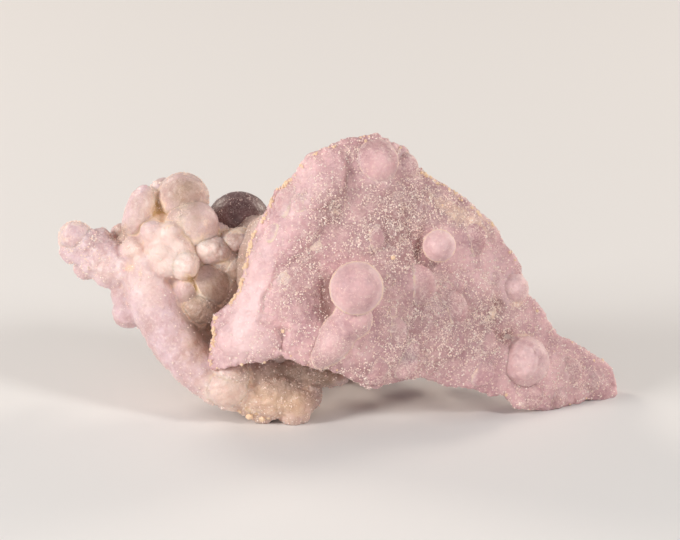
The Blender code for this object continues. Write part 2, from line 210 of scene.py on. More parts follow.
def face_depth(x):
    stations, depths = zip(*PLATE_FACE)
    steps = np.linspace(-FACE_BLEND, FACE_BLEND, FACE_BLEND_STEPS)
    return np.mean([np.interp(x + step, stations, depths) for step in steps], axis=0)


def oval_reach(x, z, centre_x, centre_z, length, width, tilt=0.0):
    """How far out of a tilted oval's centre a place lies, 1 on the oval itself."""
    turn = math.radians(tilt)
    along = (x - centre_x) * math.sin(turn) + (z - centre_z) * math.cos(turn)
    across = (x - centre_x) * math.cos(turn) - (z - centre_z) * math.sin(turn)
    return np.hypot(along / length, across / width)


def patches(x, z, places):
    """Soft ovals: each place is x, z, half length, half width, strength and any tilt."""
    ovals = [(place[4], place[:4] + place[5:]) for place in places]
    return sum(strength * np.exp(-oval_reach(x, z, *oval) ** 2) for strength, oval in ovals)


def ledges(x, z, places):
    """Ovals with a flat top and a steep edge, whose strength is their height."""
    highest = np.zeros_like(x)
    for centre_x, centre_z, length, width, height, *tilt in places:
        reach = oval_reach(x, z, centre_x, centre_z, length, width, *tilt)
        share = smooth_step((1.0 - reach) / LEDGE_EDGE + 0.5)
        highest = np.maximum(highest, height * share)
    return highest


def rim_distance(x, z):
    """How far each place lies from the plate's outline."""
    corners = np.array(PLATE_OUTLINE)
    nearest = np.full(x.shape, np.inf)
    for start, end in zip(corners, np.roll(corners, -1, axis=0)):
        side = end - start
        share = ((x - start[0]) * side[0] + (z - start[1]) * side[1]) / side.dot(side)
        share = np.clip(share, 0.0, 1.0)
        gap = np.hypot(x - start[0] - share * side[0], z - start[1] - share * side[1])
        nearest = np.minimum(nearest, gap)
    return nearest


def face_at(x, z):
    """Depth of the finished face, and how far inward of the rim it lies, 0 to 1."""
    gap = rim_distance(x, z)
    inward = smooth_step(gap / RIM_WIDTH)
    lift = patches(x, z, PLATE_SWELLS) * inward
    lift += ledges(x, z, PLATE_LEDGES) * smooth_step(gap / LEDGE_RIM)
    return face_depth(x) - lift + RIM_CURL * (1.0 - inward), inward


def inside_outline(x, z):
    inside = False
    for (x1, z1), (x2, z2) in zip(PLATE_OUTLINE, PLATE_OUTLINE[1:] + PLATE_OUTLINE[:1]):
        if (z1 > z) != (z2 > z) and x < x1 + (z - z1) / (z2 - z1) * (x2 - x1):
            inside = not inside
    return inside


def rows_of(collection, field, width):
    """A mesh field as an array with one row for each of its elements."""
    values = np.empty(len(collection) * width)
    collection.foreach_get(field, values)
    return values.reshape(-1, width)


def points_of(mesh):
    return rows_of(mesh.vertices, "co", 3)


def normals_of(mesh):
    return rows_of(mesh.vertices, "normal", 3)


def made_mesh(name, work):
    """Puts a bmesh down as a mesh."""
    mesh = bpy.data.meshes.new(name)
    work.to_mesh(mesh)
    work.free()
    return mesh


def placed_object(name, data):
    """Shows a mesh, a lamp or a camera in the scene."""
    made = bpy.data.objects.new(name, data)
    bpy.context.scene.collection.objects.link(made)
    return made


def closed_skin(work, grain, easing=2):
    """One closed skin round all the lumps in a bmesh, with its inner hollows dropped."""
    lumps = placed_object("lumps", made_mesh("lumps", work))
    wrap = lumps.modifiers.new("wrap", "REMESH")
    wrap.mode = "VOXEL"
    wrap.voxel_size = grain
    ease = lumps.modifiers.new("ease", "SMOOTH")
    ease.factor = 0.5
    ease.iterations = easing
    bpy.context.view_layer.update()
    evaluated = lumps.evaluated_get(bpy.context.evaluated_depsgraph_get())
    skin = bpy.data.meshes.new_from_object(evaluated)
    bpy.data.objects.remove(lumps)
    drop_inner_shells(skin)
    return skin


def drop_inner_shells(mesh):
    """Keeps the largest of a mesh's shells."""
    work = bmesh.new()
    work.from_mesh(mesh)
    shells = []
    unseen = set(work.verts)
    while unseen:
        shell = [unseen.pop()]
        for vert in shell:
            for edge in vert.link_edges:
                other = edge.other_vert(vert)
                if other in unseen:
                    unseen.remove(other)
                    shell.append(other)
        shells.append(shell)
    shells.sort(key=len)
    inner = [vert for shell in shells[:-1] for vert in shell]
    bmesh.ops.delete(work, geom=inner, context="VERTS")
    work.to_mesh(mesh)
    work.free()


def add_lump(work, x, y, z, wide, deep, high, tilt=0.0, fineness=4):
    """A ball or an egg of chalcedony, tilted in the plane of the plate."""
    place = Matrix.Translation((x, y, z))
    turn = Matrix.Rotation(math.radians(tilt), 4, "Y")
    size = Matrix.Diagonal((wide, deep, high, 1.0))
    shape = place @ turn @ size
    bmesh.ops.create_icosphere(work, subdivisions=fineness, radius=1.0, matrix=shape)


def bent_slab():
    """The outline extruded to a slab, then bent along the face and thinned to its rim."""
    work = bmesh.new()
    corners = [work.verts.new((x, 0.0, z)) for x, z in PLATE_OUTLINE]
    outline = work.faces.new(corners)
    grown = bmesh.ops.extrude_face_region(work, geom=[outline])
    raised = [item for item in grown["geom"] if isinstance(item, bmesh.types.BMVert)]
    bmesh.ops.translate(work, vec=(0.0, PLATE_THICK, 0.0), verts=raised)
    bmesh.ops.recalc_face_normals(work, faces=work.faces)
    slab = closed_skin(work, SLAB_GRAIN, easing=0)
    points = points_of(slab)
    x, y, z = points.T
    front, inward = face_at(x, z)
    share = np.clip(y / PLATE_THICK, 0.0, 1.0)
    thick = PLATE_RIM + (PLATE_THICK - PLATE_RIM) * inward
    low = smooth_step((UNDERSIDE_REACH - z) / UNDERSIDE_REACH)
    points[:, 1] = front + share * thick
    points[:, 2] = z + share * thick * UNDERSIDE_RISE * low * (1.0 - inward)
    slab.vertices.foreach_set("co", points.ravel())
    return slab


def face_depth_at(x, z):
    return float(face_at(np.array([x]), np.array([z]))[0][0])


def add_domes(work):
    """Low domes paving the plate, on the face and on the back in turn."""
    draw = random.Random(DOME_SEED)
    across, up = zip(*PLATE_OUTLINE)
    placed = 0
    while placed < DOME_COUNT:
        x = draw.uniform(min(across), max(across))
        z = draw.uniform(min(up), max(up))
        radius = draw.uniform(*DOME_RADII)
        stand = draw.uniform(*DOME_STAND)
        gap = float(rim_distance(np.array([x]), np.array([z]))[0])
        if not inside_outline(x, z) or gap < DOME_RIM_GAP:
            continue
        front, inward = (float(value[0]) for value in face_at(np.array([x]), np.array([z])))
        centre = front + DOME_DEPTH - stand
        if placed % 2 == 1:
            thick = PLATE_RIM + (PLATE_THICK - PLATE_RIM) * inward
            centre = front + thick - DOME_DEPTH + stand + BACK_STAND
        else:
            room = min(math.hypot(x - bx, z - bz) - size for bx, bz, size, _ in PLATE_BALLS)
            if room < BALL_CLEARANCE:
                continue
            radius = min(radius, room)
        radius = min(radius, gap)
        add_lump(work, x, centre, z, radius, DOME_DEPTH, radius)
        placed += 1


def add_face_domes(work):
    """Each dome is an egg twice as deep as it stands out, so it meets the face steeply."""
    for x, z, radius, height in FACE_DOMES:
        wide = radius / math.sqrt(0.75)
        add_lump(work, x, face_depth_at(x, z) + height, z, wide, 2.0 * height, wide)


DOME_FOOT = 0.85
CREASE_WIDTH = 0.22


def packed_domes(points, size):
    """Packed domes of about this size: height on the dome, and nearness to a crease."""
    reach = [noise.voronoi(Vector(cell))[0] for cell in points / size]
    first = np.array([distances[0] for distances in reach])
    second = np.array([distances[1] for distances in reach])
    height = 1.0 - np.clip(first / DOME_FOOT, 0.0, 1.0) ** 2
    return height, 1.0 - smooth_step((second - first) / CREASE_WIDTH)


FACET_TURN = np.array(Matrix.Rotation(0.7, 3, (0.5, 0.3, 0.8)))
FACET_WARP = 0.3


def facets(points, size):
    """Small pyramids with flat faces, like crystal tips, about -0.5 to 0.5."""
    warp = FACET_WARP * size * clouds(points, 2.0 * size, 1)[:, None]
    turned = (points + warp) @ FACET_TURN
    cells = [Vector(cell) for cell in turned / size]
    return 0.5 - np.array([noise.voronoi(c, distance_metric="CHEBYCHEV")[0][0] for c in cells])


def clouds(points, size, octaves=3):
    """Soft noise, about -1 to 1."""
    return np.array([noise.fractal(Vector(p), 1.0, 2.0, octaves) for p in points / size])


def smoothed(mesh, values, passes):
    """Values of a mesh's points, each time half mixed with the mean of their neighbours."""
    ends = np.empty(len(mesh.edges) * 2, np.int64)
    mesh.edges.foreach_get("vertices", ends)
    first, second = ends.reshape(-1, 2).T
    count = len(values)
    joined = np.bincount(first, minlength=count) + np.bincount(second, minlength=count)
    for _ in range(passes):
        total = np.bincount(first, values[second], count)
        total += np.bincount(second, values[first], count)
        values = 0.5 * values + 0.5 * total / joined
    return values


def hollowness(mesh, passes):
    """How far each point lies below its surroundings, in millimetres."""
    points = points_of(mesh)
    normals = normals_of(mesh)
    eased = np.stack([smoothed(mesh, line, passes) for line in points.T], axis=1)
    return ((eased - points) * normals).sum(axis=1)


def raise_skin(mesh, lift):
    """Moves each point of the skin out along its normal."""
    points = points_of(mesh)
    points += normals_of(mesh) * lift[:, None]
    mesh.vertices.foreach_set("co", points.ravel())
    mesh.update()


def mask_of(mesh, name):
    return rows_of(mesh.attributes[name].data, "value", 1)[:, 0]


def keep_masks(mesh, **masks):
    """Keeps masks of 0 to 1 on a mesh's points, for its colours and its crystals."""
    for name, values in masks.items():
        mask = mesh.attributes.new(name, "FLOAT", "POINT")
        mask.data.foreach_set("value", np.clip(values, 0.0, 1.0).astype(np.float32))


def finished_piece(name, mesh, material):
    """Stands a mesh on the floor as a piece of the specimen."""
    mesh.name = name
    mesh.transform(STANCE)
    points = points_of(mesh)
    points[:, 2] = np.maximum(points[:, 2], 0.0)
    mesh.vertices.foreach_set("co", points.ravel())
    mesh.materials.clear()
    mesh.materials.append(material)
    piece = placed_object(name, mesh)
    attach(piece, BODY)
    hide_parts(NODE)


# Patches of the face, each x, z, half length, half width, strength and any tilt: where it
# stays smooth, where quartz points grow thickly, and where iron has stained it
SMOOTH_PATCHES = (
    (-13.5, 17.0, 10.5, 3.0, 1.3, 15.0),
    (-7.5, 28.0, 6.0, 2.6, 0.8, 12.0),
    (2.6, 19.6, 3.9, 3.9, 1.4),
    (2.2, 15.2, 3.1, 3.1, 0.4),
    (14.3, 25.6, 2.6, 2.6, 1.6),
    (25.0, 19.6, 2.4, 2.2, 1.2),
    (26.7, 9.1, 3.6, 3.6, 1.2),
    (5.3, 36.8, 3.0, 3.0, 0.9),
    (10.4, 20.6, 2.0, 2.0, 0.8),
    (17.8, 26.0, 2.4, 2.4, 0.7),
    (19.0, 6.6, 1.8, 4.0, 0.8),
    (-0.8, 12.0, 5.0, 2.8, 0.6, 31.0),
)
DRUSE_PATCHES = (
    (8.8, 27.5, 8.5, 6.5, 0.9),
    (12.5, 14.0, 6.0, 8.5, 0.55),
    (-5.0, 22.0, 6.5, 3.6, 0.55),
    (-1.1, 31.0, 3.0, 2.0, 0.8),
    (-10.8, 10.8, 2.4, 2.4, 0.15),
    (5.0, 7.5, 1.8, 7.0, 0.5),
    (22.0, 15.0, 4.5, 3.5, 0.6),
    (3.4, 38.5, 1.4, 1.3, 0.9),
    (33.5, 7.0, 3.0, 6.0, 0.25, 60.0),
)
STAINED_PATCHES = (
    (1.0, 39.0, 0.9, 1.4, 0.6),
    (-0.6, 30.2, 1.6, 1.0, 0.6),
    (21.9, 15.8, 1.6, 0.8, 0.85, 30.0),
    (25.4, 17.2, 0.7, 1.5, 0.8),
    (26.0, 12.9, 0.4, 2.4, 0.8),
    (12.6, 9.8, 1.5, 0.4, 0.6),
    (14.5, 31.5, 5.0, 2.0, 0.62, 125.0),
    (19.5, 28.6, 4.0, 1.6, 0.62, 125.0),
    (9.0, 30.6, 1.0, 1.0, 0.5),
    (30.5, 11.6, 1.6, 0.5, 0.5, 60.0),
)
# Where the broken rim is crusted with cream grains
CRUSTED_RIM = (
    (-14.6, 21.6, 9.5, 2.5, 1.0, 22.0),
    (-5.5, 35.5, 6.0, 1.6, 0.45, 50.0),
    (16.0, 32.5, 7.0, 1.6, 0.35, 125.0),
    (-17.8, 12.0, 4.0, 1.2, 0.4),
)
# Balls with hardly any ring of crystals and painted rim light where they rise out of the plate
RINGLESS_BALLS = (
    (26.7, 9.1, 5.4, 5.4, 1.6),
    (25.0, 19.6, 3.8, 3.8, 1.6),
)
# Where the stone is paler, partly milky and partly painted light, and pockets of the face with
# painted shade
PALE_PATCHES = (
    (-13.4, 16.8, 9.5, 2.8, 0.75, 15.0),
    (-4.4, 33.4, 5.0, 3.0, 0.3, 15.0),
    (14.3, 25.6, 2.6, 2.6, 0.45),
    (26.7, 9.1, 3.4, 3.4, 0.5),
    (25.0, 19.6, 2.3, 2.3, 0.6),
    (2.6, 19.6, 3.8, 3.8, 0.15),
    (-12.0, 11.6, 2.6, 3.4, 0.5),
    (-0.4, 12.6, 4.0, 2.4, 0.25, 31.0),
)
POCKETS = (
    (-1.6, 18.2, 3.6, 1.2, 1.3),
    (3.7, 24.4, 0.7, 2.6, 0.5),
    (11.5, 25.0, 2.4, 0.7, 0.6),
    (-7.6, 11.6, 2.0, 0.7, 0.4),
    (0.9, 34.8, 3.4, 0.5, 0.7, 5.0),
    (22.6, 17.2, 1.1, 1.1, 0.3),
    (23.4, 12.9, 1.2, 1.4, 0.5, 60.0),
    (13.8, 9.0, 1.8, 0.4, 0.6),
    (3.0, 11.4, 2.6, 0.6, 0.35, 35.0),
)
# Packed domes of three sizes pave the face: size, height
PLATE_DOMES = ((2.7, 0.10), (1.2, 0.11), (0.5, 0.08))
WARP = 0.25
FINE_GRAIN = 0.035
BROAD_GRAIN = 0.05
RAGGED_REACH = 1.6
RAGGED_HEIGHT = 0.30
RIM_LIP = 0.6
CRUST_REACH = 0.7
RING_WIDTH = 0.32
RINGLESS = 0.8
CRYSTAL_RIM_WIDTH = 0.26
HOLLOW_PASSES = 60
STEP_PASSES = 12
STEP_HEIGHT = 0.10
FULL_CREASE = 1.25


def ball_rings(points):
    """Nearness to the line where a ball rises out of the plate, 0 to 1."""
    nearest = np.full(len(points), np.inf)
    for x, z, radius, stand in PLATE_BALLS:
        centre = (x, face_depth_at(x, z) - stand, z)
        nearest = np.minimum(nearest, np.abs(np.linalg.norm(points - centre, axis=1) - radius))
    ringless = smooth_step(patches(points[:, 0], points[:, 2], RINGLESS_BALLS))
    return np.exp(-(nearest / RING_WIDTH) ** 2) * (1.0 - RINGLESS * ringless)


def dome_rims(points):
    """Nearness to the broken rims of crystals round the face's low domes, 0 to 1."""
    x, _, z = points.T
    gaps = [np.abs(np.hypot(x - cx, z - cz) - radius) for cx, cz, radius, _ in FACE_DOMES]
    rim = np.exp(-(np.min(gaps, axis=0) / CRYSTAL_RIM_WIDTH) ** 2)
    return rim * smooth_step(0.5 + 1.2 * clouds(points, 3.0, 2))


def plate_skin():
    """The plate's skin, with its relief and with the masks that its colours follow."""
    work = bmesh.new()
    work.from_mesh(bent_slab())
    add_domes(work)
    mesh = closed_skin(work, SKIN_GRAIN)
    points = points_of(mesh)
    x, y, z = points.T
    smooth = smooth_step(patches(x, z, SMOOTH_PATCHES))
    rough = 1.0 - 0.88 * smooth
    gap = rim_distance(x, z)
    ragged = smooth_step(1.0 - gap / RAGGED_REACH)
    lift = FINE_GRAIN * clouds(points, 0.5) + BROAD_GRAIN * rough * clouds(points, 2.4)
    lift += RAGGED_HEIGHT * ragged * clouds(points, 1.1)
    creases = np.zeros(len(points))
    for size, height in PLATE_DOMES:
        warp = WARP * size * clouds(points, size)[:, None]
        tops, crease = packed_domes(points + warp, size)
        lift += height * rough * tops
        creases = np.maximum(creases, crease * min(1.0, size / FULL_CREASE))
    raise_skin(mesh, lift)
    facing = smooth_step(0.5 - normals_of(mesh)[:, 1])
    # Rings round the balls draw crystals, and paint a cream rim light into the stain and the
    # frost
    rings = ball_rings(points)
    deep = hollowness(mesh, HOLLOW_PASSES)
    steps = smooth_step(hollowness(mesh, STEP_PASSES) / STEP_HEIGHT)
    crowd = 0.07 + patches(x, z, DRUSE_PATCHES) + 0.5 * patches(x, z, STAINED_PATCHES)
    crowd *= (0.3 + 0.7 * facing) * (1.0 - 0.93 * smooth)
    rims = dome_rims(points) * facing * (1.0 - 0.8 * smooth)
    # Pockets of the face painted in shade, where fewer crystals grow
    pocket = patches(x, z, POCKETS) * facing
    crowd *= 1.0 - 0.6 * np.clip(pocket, 0.0, 1.0)
    lip = smooth_step(1.0 - (y - face_at(x, z)[0]) / RIM_LIP)
    broken = np.clip(0.6 + 1.3 * clouds(points, 1.3), 0.1, 1.2)
    rim_crust = smooth_step(1.0 - gap / CRUST_REACH) * lip * broken
    rim_crust *= 0.12 + patches(x, z, CRUSTED_RIM)
    grown = crowd * (0.16 + 0.84 * creases) + 0.5 * rims
    keep_masks(
        mesh,
        # Paler where the stone is milky, and partly painted light
        pale=patches(x, z, PALE_PATCHES),
        # Painted shade: darker in the creases and in the shaded pockets of the face
        hollow=(deep - 0.05) / 0.6 + pocket,
        stain=0.6 * patches(x, z, STAINED_PATCHES) + rim_crust + 0.45 * rings,
        dusk=0.85 * np.clip(crowd, 0.0, 1.0),
        frost=0.7 * crowd + 0.7 * steps + 0.8 * rings + 0.6 * rims,
        druse=grown + 0.3 * rings + 0.12 * steps,
        crust=rim_crust * facing,
    )
    return mesh


FLOAT, COLOUR, VECTOR = "NodeSocketFloat", "NodeSocketColor", "NodeSocketVector"
ROSE = (0.78, 0.485, 0.495, 1.0)
PALE_ROSE = (0.90, 0.66, 0.66, 1.0)
MAUVE = (0.51, 0.275, 0.30, 1.0)
DUSKY_MAUVE = (0.36, 0.185, 0.18, 1.0)
# Painted shade in the plate's creases and pockets
MAUVE_BROWN = (0.30, 0.14, 0.125, 1.0)
FROST = (0.95, 0.74, 0.66, 1.0)
CREAMY_FROST = (1.0, 0.84, 0.76, 1.0)
CREAM = (0.94, 0.71, 0.56, 1.0)
OCHRE = (0.60, 0.37, 0.16, 1.0)


def feed(tree, node, sockets):
    """Gives a node's sockets their values, or links them to other nodes' outputs."""
    for name, value in dict(sockets).items():
        if isinstance(value, bpy.types.NodeSocket):
            tree.links.new(value, node.inputs[name])
        else:
            node.inputs[name].default_value = value


def add_node(tree, kind, sockets=(), **settings):
    """A shader node with its settings and its sockets."""
    made = tree.nodes.new(kind)
    for name, value in settings.items():
        setattr(made, name, value)
    feed(tree, made, sockets)
    return made


def noise_at(tree, place, scale, detail, roughness, distortion=0.0):
    sockets = {"Vector": place, "Scale": scale, "Detail": detail, "Roughness": roughness}
    sockets["Distortion"] = distortion
    return add_node(tree, "ShaderNodeTexNoise", sockets).outputs["Fac"]


def spread(tree, value, low, high, start=0.0, end=1.0):
    """Carries a value's range from low to high over to start to end, and holds it there."""
    sockets = {"Value": value, "From Min": low, "From Max": high, "To Min": start, "To Max": end}
    return add_node(tree, "ShaderNodeMapRange", sockets).outputs["Result"]


def reckon(tree, operation, first, second=0.0, clamp=False):
    settings = {"operation": operation, "use_clamp": clamp}
    return add_node(tree, "ShaderNodeMath", {0: first, 1: second}, **settings).outputs["Value"]


def blend(tree, share, under, over):
    """One colour laid over another by its share."""
    sockets = {"Factor": share, "A": under, "B": over}
    return add_node(tree, "ShaderNodeMix", sockets, data_type="RGBA").outputs["Result"]


def mask_from(tree, name):
    return add_node(tree, "ShaderNodeAttribute", attribute_name=name).outputs["Fac"]


def new_group(name, inputs, outputs):
    """A shader node group with named sockets, what it is given, and where it puts out."""
    group = bpy.data.node_groups.new(name, "ShaderNodeTree")
    for label, kind, value in inputs:
        socket = group.interface.new_socket(label, in_out="INPUT", socket_type=kind)
        socket.default_value = value
    for label, kind in outputs:
        group.interface.new_socket(label, in_out="OUTPUT", socket_type=kind)
    return group, group.nodes.new("NodeGroupInput").outputs, group.nodes.new("NodeGroupOutput")


POSITION_IN = ("Position", VECTOR, (0.0, 0.0, 0.0))
COLOUR_IN = ("Color", COLOUR, ROSE)
MASK_IN = ("Mask", FLOAT, 0.0)
COLOUR_OUT = ("Color", COLOUR)


def mottling_group():
    """Cloudy colour inside the stone, with flecks of frost on its skin."""
    group, given, out = new_group(
        "chalcedony mottling",
        (
            POSITION_IN,
            ("Deep", COLOUR, MAUVE),
            ("Pale", COLOUR, ROSE),
            ("Fleck", COLOUR, FROST),
            ("Cloud Scale", FLOAT, 260.0),
            ("Fleck Scale", FLOAT, 2400.0),
            ("Flecks", FLOAT, 0.3),
        ),
        (COLOUR_OUT,),
    )
    cloud = noise_at(group, given["Position"], given["Cloud Scale"], 6.0, 0.62)
    base = blend(group, spread(group, cloud, 0.36, 0.62), given["Deep"], given["Pale"])
    fleck = noise_at(group, given["Position"], given["Fleck Scale"], 3.0, 0.6)
    share = reckon(group, "MULTIPLY", spread(group, fleck, 0.53, 0.66), given["Flecks"])
    feed(group, out, {"Color": blend(group, share, base, given["Fleck"])})
    return group


def tint_group():
    """Lays a colour over another where a mask and broken noise say so."""
    group, given, out = new_group(
        "patchy tint",
        (POSITION_IN, COLOUR_IN, ("Tint", COLOUR, MAUVE), MASK_IN, ("Scale", FLOAT, 700.0)),
        (COLOUR_OUT,),
    )
    broken = noise_at(group, given["Position"], given["Scale"], 4.0, 0.6)
    summed = reckon(group, "ADD", given["Mask"], reckon(group, "SUBTRACT", broken, 0.5))
    edge = spread(group, given["Mask"], 0.0, 0.25)
    share = reckon(group, "MULTIPLY", summed, edge, True)
    feed(group, out, {"Color": blend(group, share, given["Color"], given["Tint"])})
    return group


def stain_group():
    """Iron stain that creeps from a mask in broken patches, cream at its edge, ochre within."""
    group, given, out = new_group(
        "iron stain",
        (
            POSITION_IN,
            COLOUR_IN,
            MASK_IN,
            ("Edge", COLOUR, CREAM),
            ("Heart", COLOUR, OCHRE),
            ("Scale", FLOAT, 1100.0),
        ),
        (COLOUR_OUT, ("Stain", FLOAT)),
    )
    broken = noise_at(group, given["Position"], given["Scale"], 4.0, 0.7)
    summed = reckon(group, "ADD", given["Mask"], broken)
    edge = spread(group, summed, 0.78, 1.12)
    heart = spread(group, summed, 1.15, 1.6)
    creamed = blend(group, edge, given["Color"], given["Edge"])
    feed(group, out, {"Color": blend(group, heart, creamed, given["Heart"]), "Stain": edge})
    return group


def frost_net_group():
    """Fine bright lines of quartz in broken nets, thick where the mask says."""
    group, given, out = new_group(
        "frost net",
        (
            POSITION_IN,
            COLOUR_IN,
            ("Net", COLOUR, CREAMY_FROST),
            MASK_IN,
            ("Scale", FLOAT, 1800.0),
            ("Cluster Scale", FLOAT, 420.0),
        ),
        (COLOUR_OUT,),
    )
    lines = noise_at(group, given["Position"], given["Scale"], 2.5, 0.65, 0.7)
    either = reckon(group, "ABSOLUTE", reckon(group, "SUBTRACT", lines, 0.5))
    thin = spread(group, either, 0.0, 0.045, 1.1, 0.0)
    clusters = noise_at(group, given["Position"], given["Cluster Scale"], 3.0, 0.6)
    share = reckon(group, "MULTIPLY", thin, spread(group, clusters, 0.38, 0.52))
    masked = reckon(group, "MULTIPLY", share, given["Mask"], True)
    feed(group, out, {"Color": blend(group, masked, given["Color"], given["Net"])})
    return group


def grain_group():
    """The finest relief of the skin: frosted grain with small crystal faces in it."""
    group, given, out = new_group(
        "frosted grain",
        (
            POSITION_IN,
            ("Grain Scale", FLOAT, 2800.0),
            ("Facet Scale", FLOAT, 1500.0),
            ("Facets", FLOAT, 0.6),
        ),
        (("Height", FLOAT),),
    )
    grain = noise_at(group, given["Position"], given["Grain Scale"], 3.0, 0.6)
    cells = {"Vector": given["Position"], "Scale": given["Facet Scale"]}
    facet = add_node(group, "ShaderNodeTexVoronoi", cells, feature="F1").outputs["Distance"]
    share = reckon(group, "MULTIPLY", facet, given["Facets"])
    feed(group, out, {"Height": reckon(group, "SUBTRACT", grain, share)})
    return group


MOTTLING = mottling_group()
TINT = tint_group()
STAIN = stain_group()
FROST_NET = frost_net_group()
GRAIN = grain_group()
QUARTZ_IOR = 1.54
GLOW_SPREAD = (1.0, 0.80, 0.74)
WAX_ROUGHNESS = 0.22
STAIN_ROUGHNESS = 0.8
GRAIN_DEPTH = 0.0002


def group_at(tree, group, place, sockets=()):
    """The outputs of a group in a material's tree, fed with the place on the piece."""
    fed = {"Position": place, **dict(sockets)}
    return add_node(tree, "ShaderNodeGroup", fed, node_tree=group).outputs


def new_material(name):
    """A material, its tree and its shader."""
    made = bpy.data.materials.new(name)
    made.use_nodes = True
    return made, made.node_tree, made.node_tree.nodes["Principled BSDF"]


def plain_material(name, colour, roughness):
    made, tree, shader = new_material(name)
    feed(tree, shader, {"Base Color": colour, "Roughness": roughness})
    return made


def chalcedony(name, mottle, tints, finish):
    """Waxy translucent chalcedony: its mottling, then its tints by mask, some of them painted
    shade and painted light, then its stain.
    """
    made, tree, shader = new_material(name)
    place = add_node(tree, "ShaderNodeTexCoord").outputs["Object"]
    colour = group_at(tree, MOTTLING, place, mottle)["Color"]
    for mask, tint in tints:
        laid = {"Color": colour, "Tint": tint, "Mask": mask_from(tree, mask)}
        colour = group_at(tree, TINT, place, laid)["Color"]
    frosted = {"Color": colour, "Mask": mask_from(tree, "frost")}
    colour = group_at(tree, FROST_NET, place, frosted)["Color"]
    stained = {"Color": colour, "Mask": mask_from(tree, "stain")}
    stained = group_at(tree, STAIN, place, stained)
    dull = spread(tree, stained["Stain"], 0.0, 1.0, finish["roughness"], STAIN_ROUGHNESS)
    grain = {"Strength": finish["grain"], "Distance": GRAIN_DEPTH}
    grain["Height"] = group_at(tree, GRAIN, place)["Height"]
    relief = add_node(tree, "ShaderNodeBump", grain).outputs["Normal"]
    feed(tree, shader, {
        "Base Color": stained["Color"],
        "Roughness": dull,
        "IOR": QUARTZ_IOR,
        "Normal": relief,
        "Subsurface Weight": finish["glow"],
        "Subsurface Radius": GLOW_SPREAD,
        "Subsurface Scale": finish["glow reach"],
        "Coat Weight": finish["coat"],
        "Coat Roughness": WAX_ROUGHNESS,
    })
    return made


PLATE_MATERIAL = chalcedony(
    "mauve chalcedony",
    {"Deep": MAUVE, "Pale": ROSE, "Fleck": FROST, "Flecks": 0.45},
    # The last tint is painted shade in the creases; the first is partly painted light
    (("pale", PALE_ROSE), ("dusk", DUSKY_MAUVE), ("hollow", MAUVE_BROWN)),
    {"roughness": 0.42, "glow": 0.35, "glow reach": 0.0014, "coat": 0.1, "grain": 0.8},
)
PLATE_SKIN = plate_skin()

# The druse. Quartz points an eighth to a third of a millimetre across, grown thickly in
# patches of the plate's face and in its creases, thinly elsewhere. Milky or clear, they glitter.

CRYSTAL_SIDES = 5
CRYSTAL_RADII = (0.065, 0.18)
CRYSTAL_HEIGHTS = (1.0, 1.9)
CRYSTAL_SINK = 0.35
CRYSTAL_LEAN = 0.35
CRYSTAL_JITTER = 0.05
SMALL_CRYSTALS = 1.6
NET_SIZE = 0.9
NET_SHARPNESS = 2.2
NET_FLOOR = 0.12
CRYSTAL_FLOOR_GAP = 0.3
CRYSTALS_AT_A_TIME = 120
PLATE_CRYSTALS = 22000
PLATE_SEED = 31
QUARTZ_WHITE = (1.0, 0.93, 0.87, 1.0)
QUARTZ_ROUGHNESS = 0.3


def grown_crystals(skin, count, seed, radii):
    """Stubby points, each closed and sunk in the skin, on places its druse mask draws."""
    draw = np.random.default_rng(seed)
    points = points_of(skin)
    normals = normals_of(skin)
    nets = 1.0 - np.abs(clouds(points, NET_SIZE, 2)) * NET_SHARPNESS
    chance = mask_of(skin, "druse") * np.clip(nets, NET_FLOOR, 1.0) ** 3
    heights = np.array([(STANCE @ Vector(p)).z / MM for p in points])
    chance[heights < CRYSTAL_FLOOR_GAP] = 0.0
    chosen = draw.choice(len(points), size=count, replace=False, p=chance / chance.sum())
    sizes = draw.uniform(0.0, 1.0, count) ** SMALL_CRYSTALS
    radius = radii[0] + (radii[1] - radii[0]) * sizes
    tall = radius * draw.uniform(*CRYSTAL_HEIGHTS, count)
    leans = normals[chosen] + draw.normal(0.0, CRYSTAL_LEAN, (count, 3))
    places = points[chosen] + draw.normal(0.0, CRYSTAL_JITTER, (count, 3))
    turns = draw.uniform(0.0, 2.0 * math.pi, count)
    grown = bmesh.new()
    for start in range(0, count, CRYSTALS_AT_A_TIME):
        batch = bmesh.new()
        for index in range(start, min(start + CRYSTALS_AT_A_TIME, count)):
            up = Vector(leans[index]).normalized()
            middle = Vector(places[index]) + up * tall[index] * (0.5 - CRYSTAL_SINK)
            turn = up.to_track_quat("Z", "Y").to_matrix().to_4x4()
            spin = Matrix.Rotation(turns[index], 4, "Z")
            bmesh.ops.create_cone(
                batch, cap_ends=True, segments=CRYSTAL_SIDES, radius1=radius[index],
                radius2=0.0, depth=tall[index], matrix=Matrix.Translation(middle) @ turn @ spin,
            )
        some = made_mesh("crystals", batch)
        grown.from_mesh(some)
        bpy.data.meshes.remove(some)
    mesh = made_mesh("crystals", grown)
    corners = len(mesh.vertices) // count
    keep_masks(
        mesh,
        tint=np.repeat(draw.uniform(0.0, 1.0, count), corners),
        stain=np.repeat(mask_of(skin, "stain")[chosen], corners),
    )
    return mesh


def quartz():
    """Clear to milky quartz, tinted crystal by crystal from the stone's rose to white."""
    made, tree, shader = new_material("quartz points")
    ramp = add_node(tree, "ShaderNodeValToRGB", {"Fac": mask_from(tree, "tint")})
    stops = ramp.color_ramp.elements
    stops[0].color = PALE_ROSE
    stops[1].color = QUARTZ_WHITE
    stops.new(0.3).color = FROST
    stops.new(0.6).color = CREAMY_FROST
    colour = blend(tree, mask_from(tree, "stain"), ramp.outputs["Color"], CREAM)
    feed(tree, shader, {
        "Base Color": colour,
        "Roughness": QUARTZ_ROUGHNESS,
        "IOR": QUARTZ_IOR,
    })
    return made


QUARTZ = quartz()


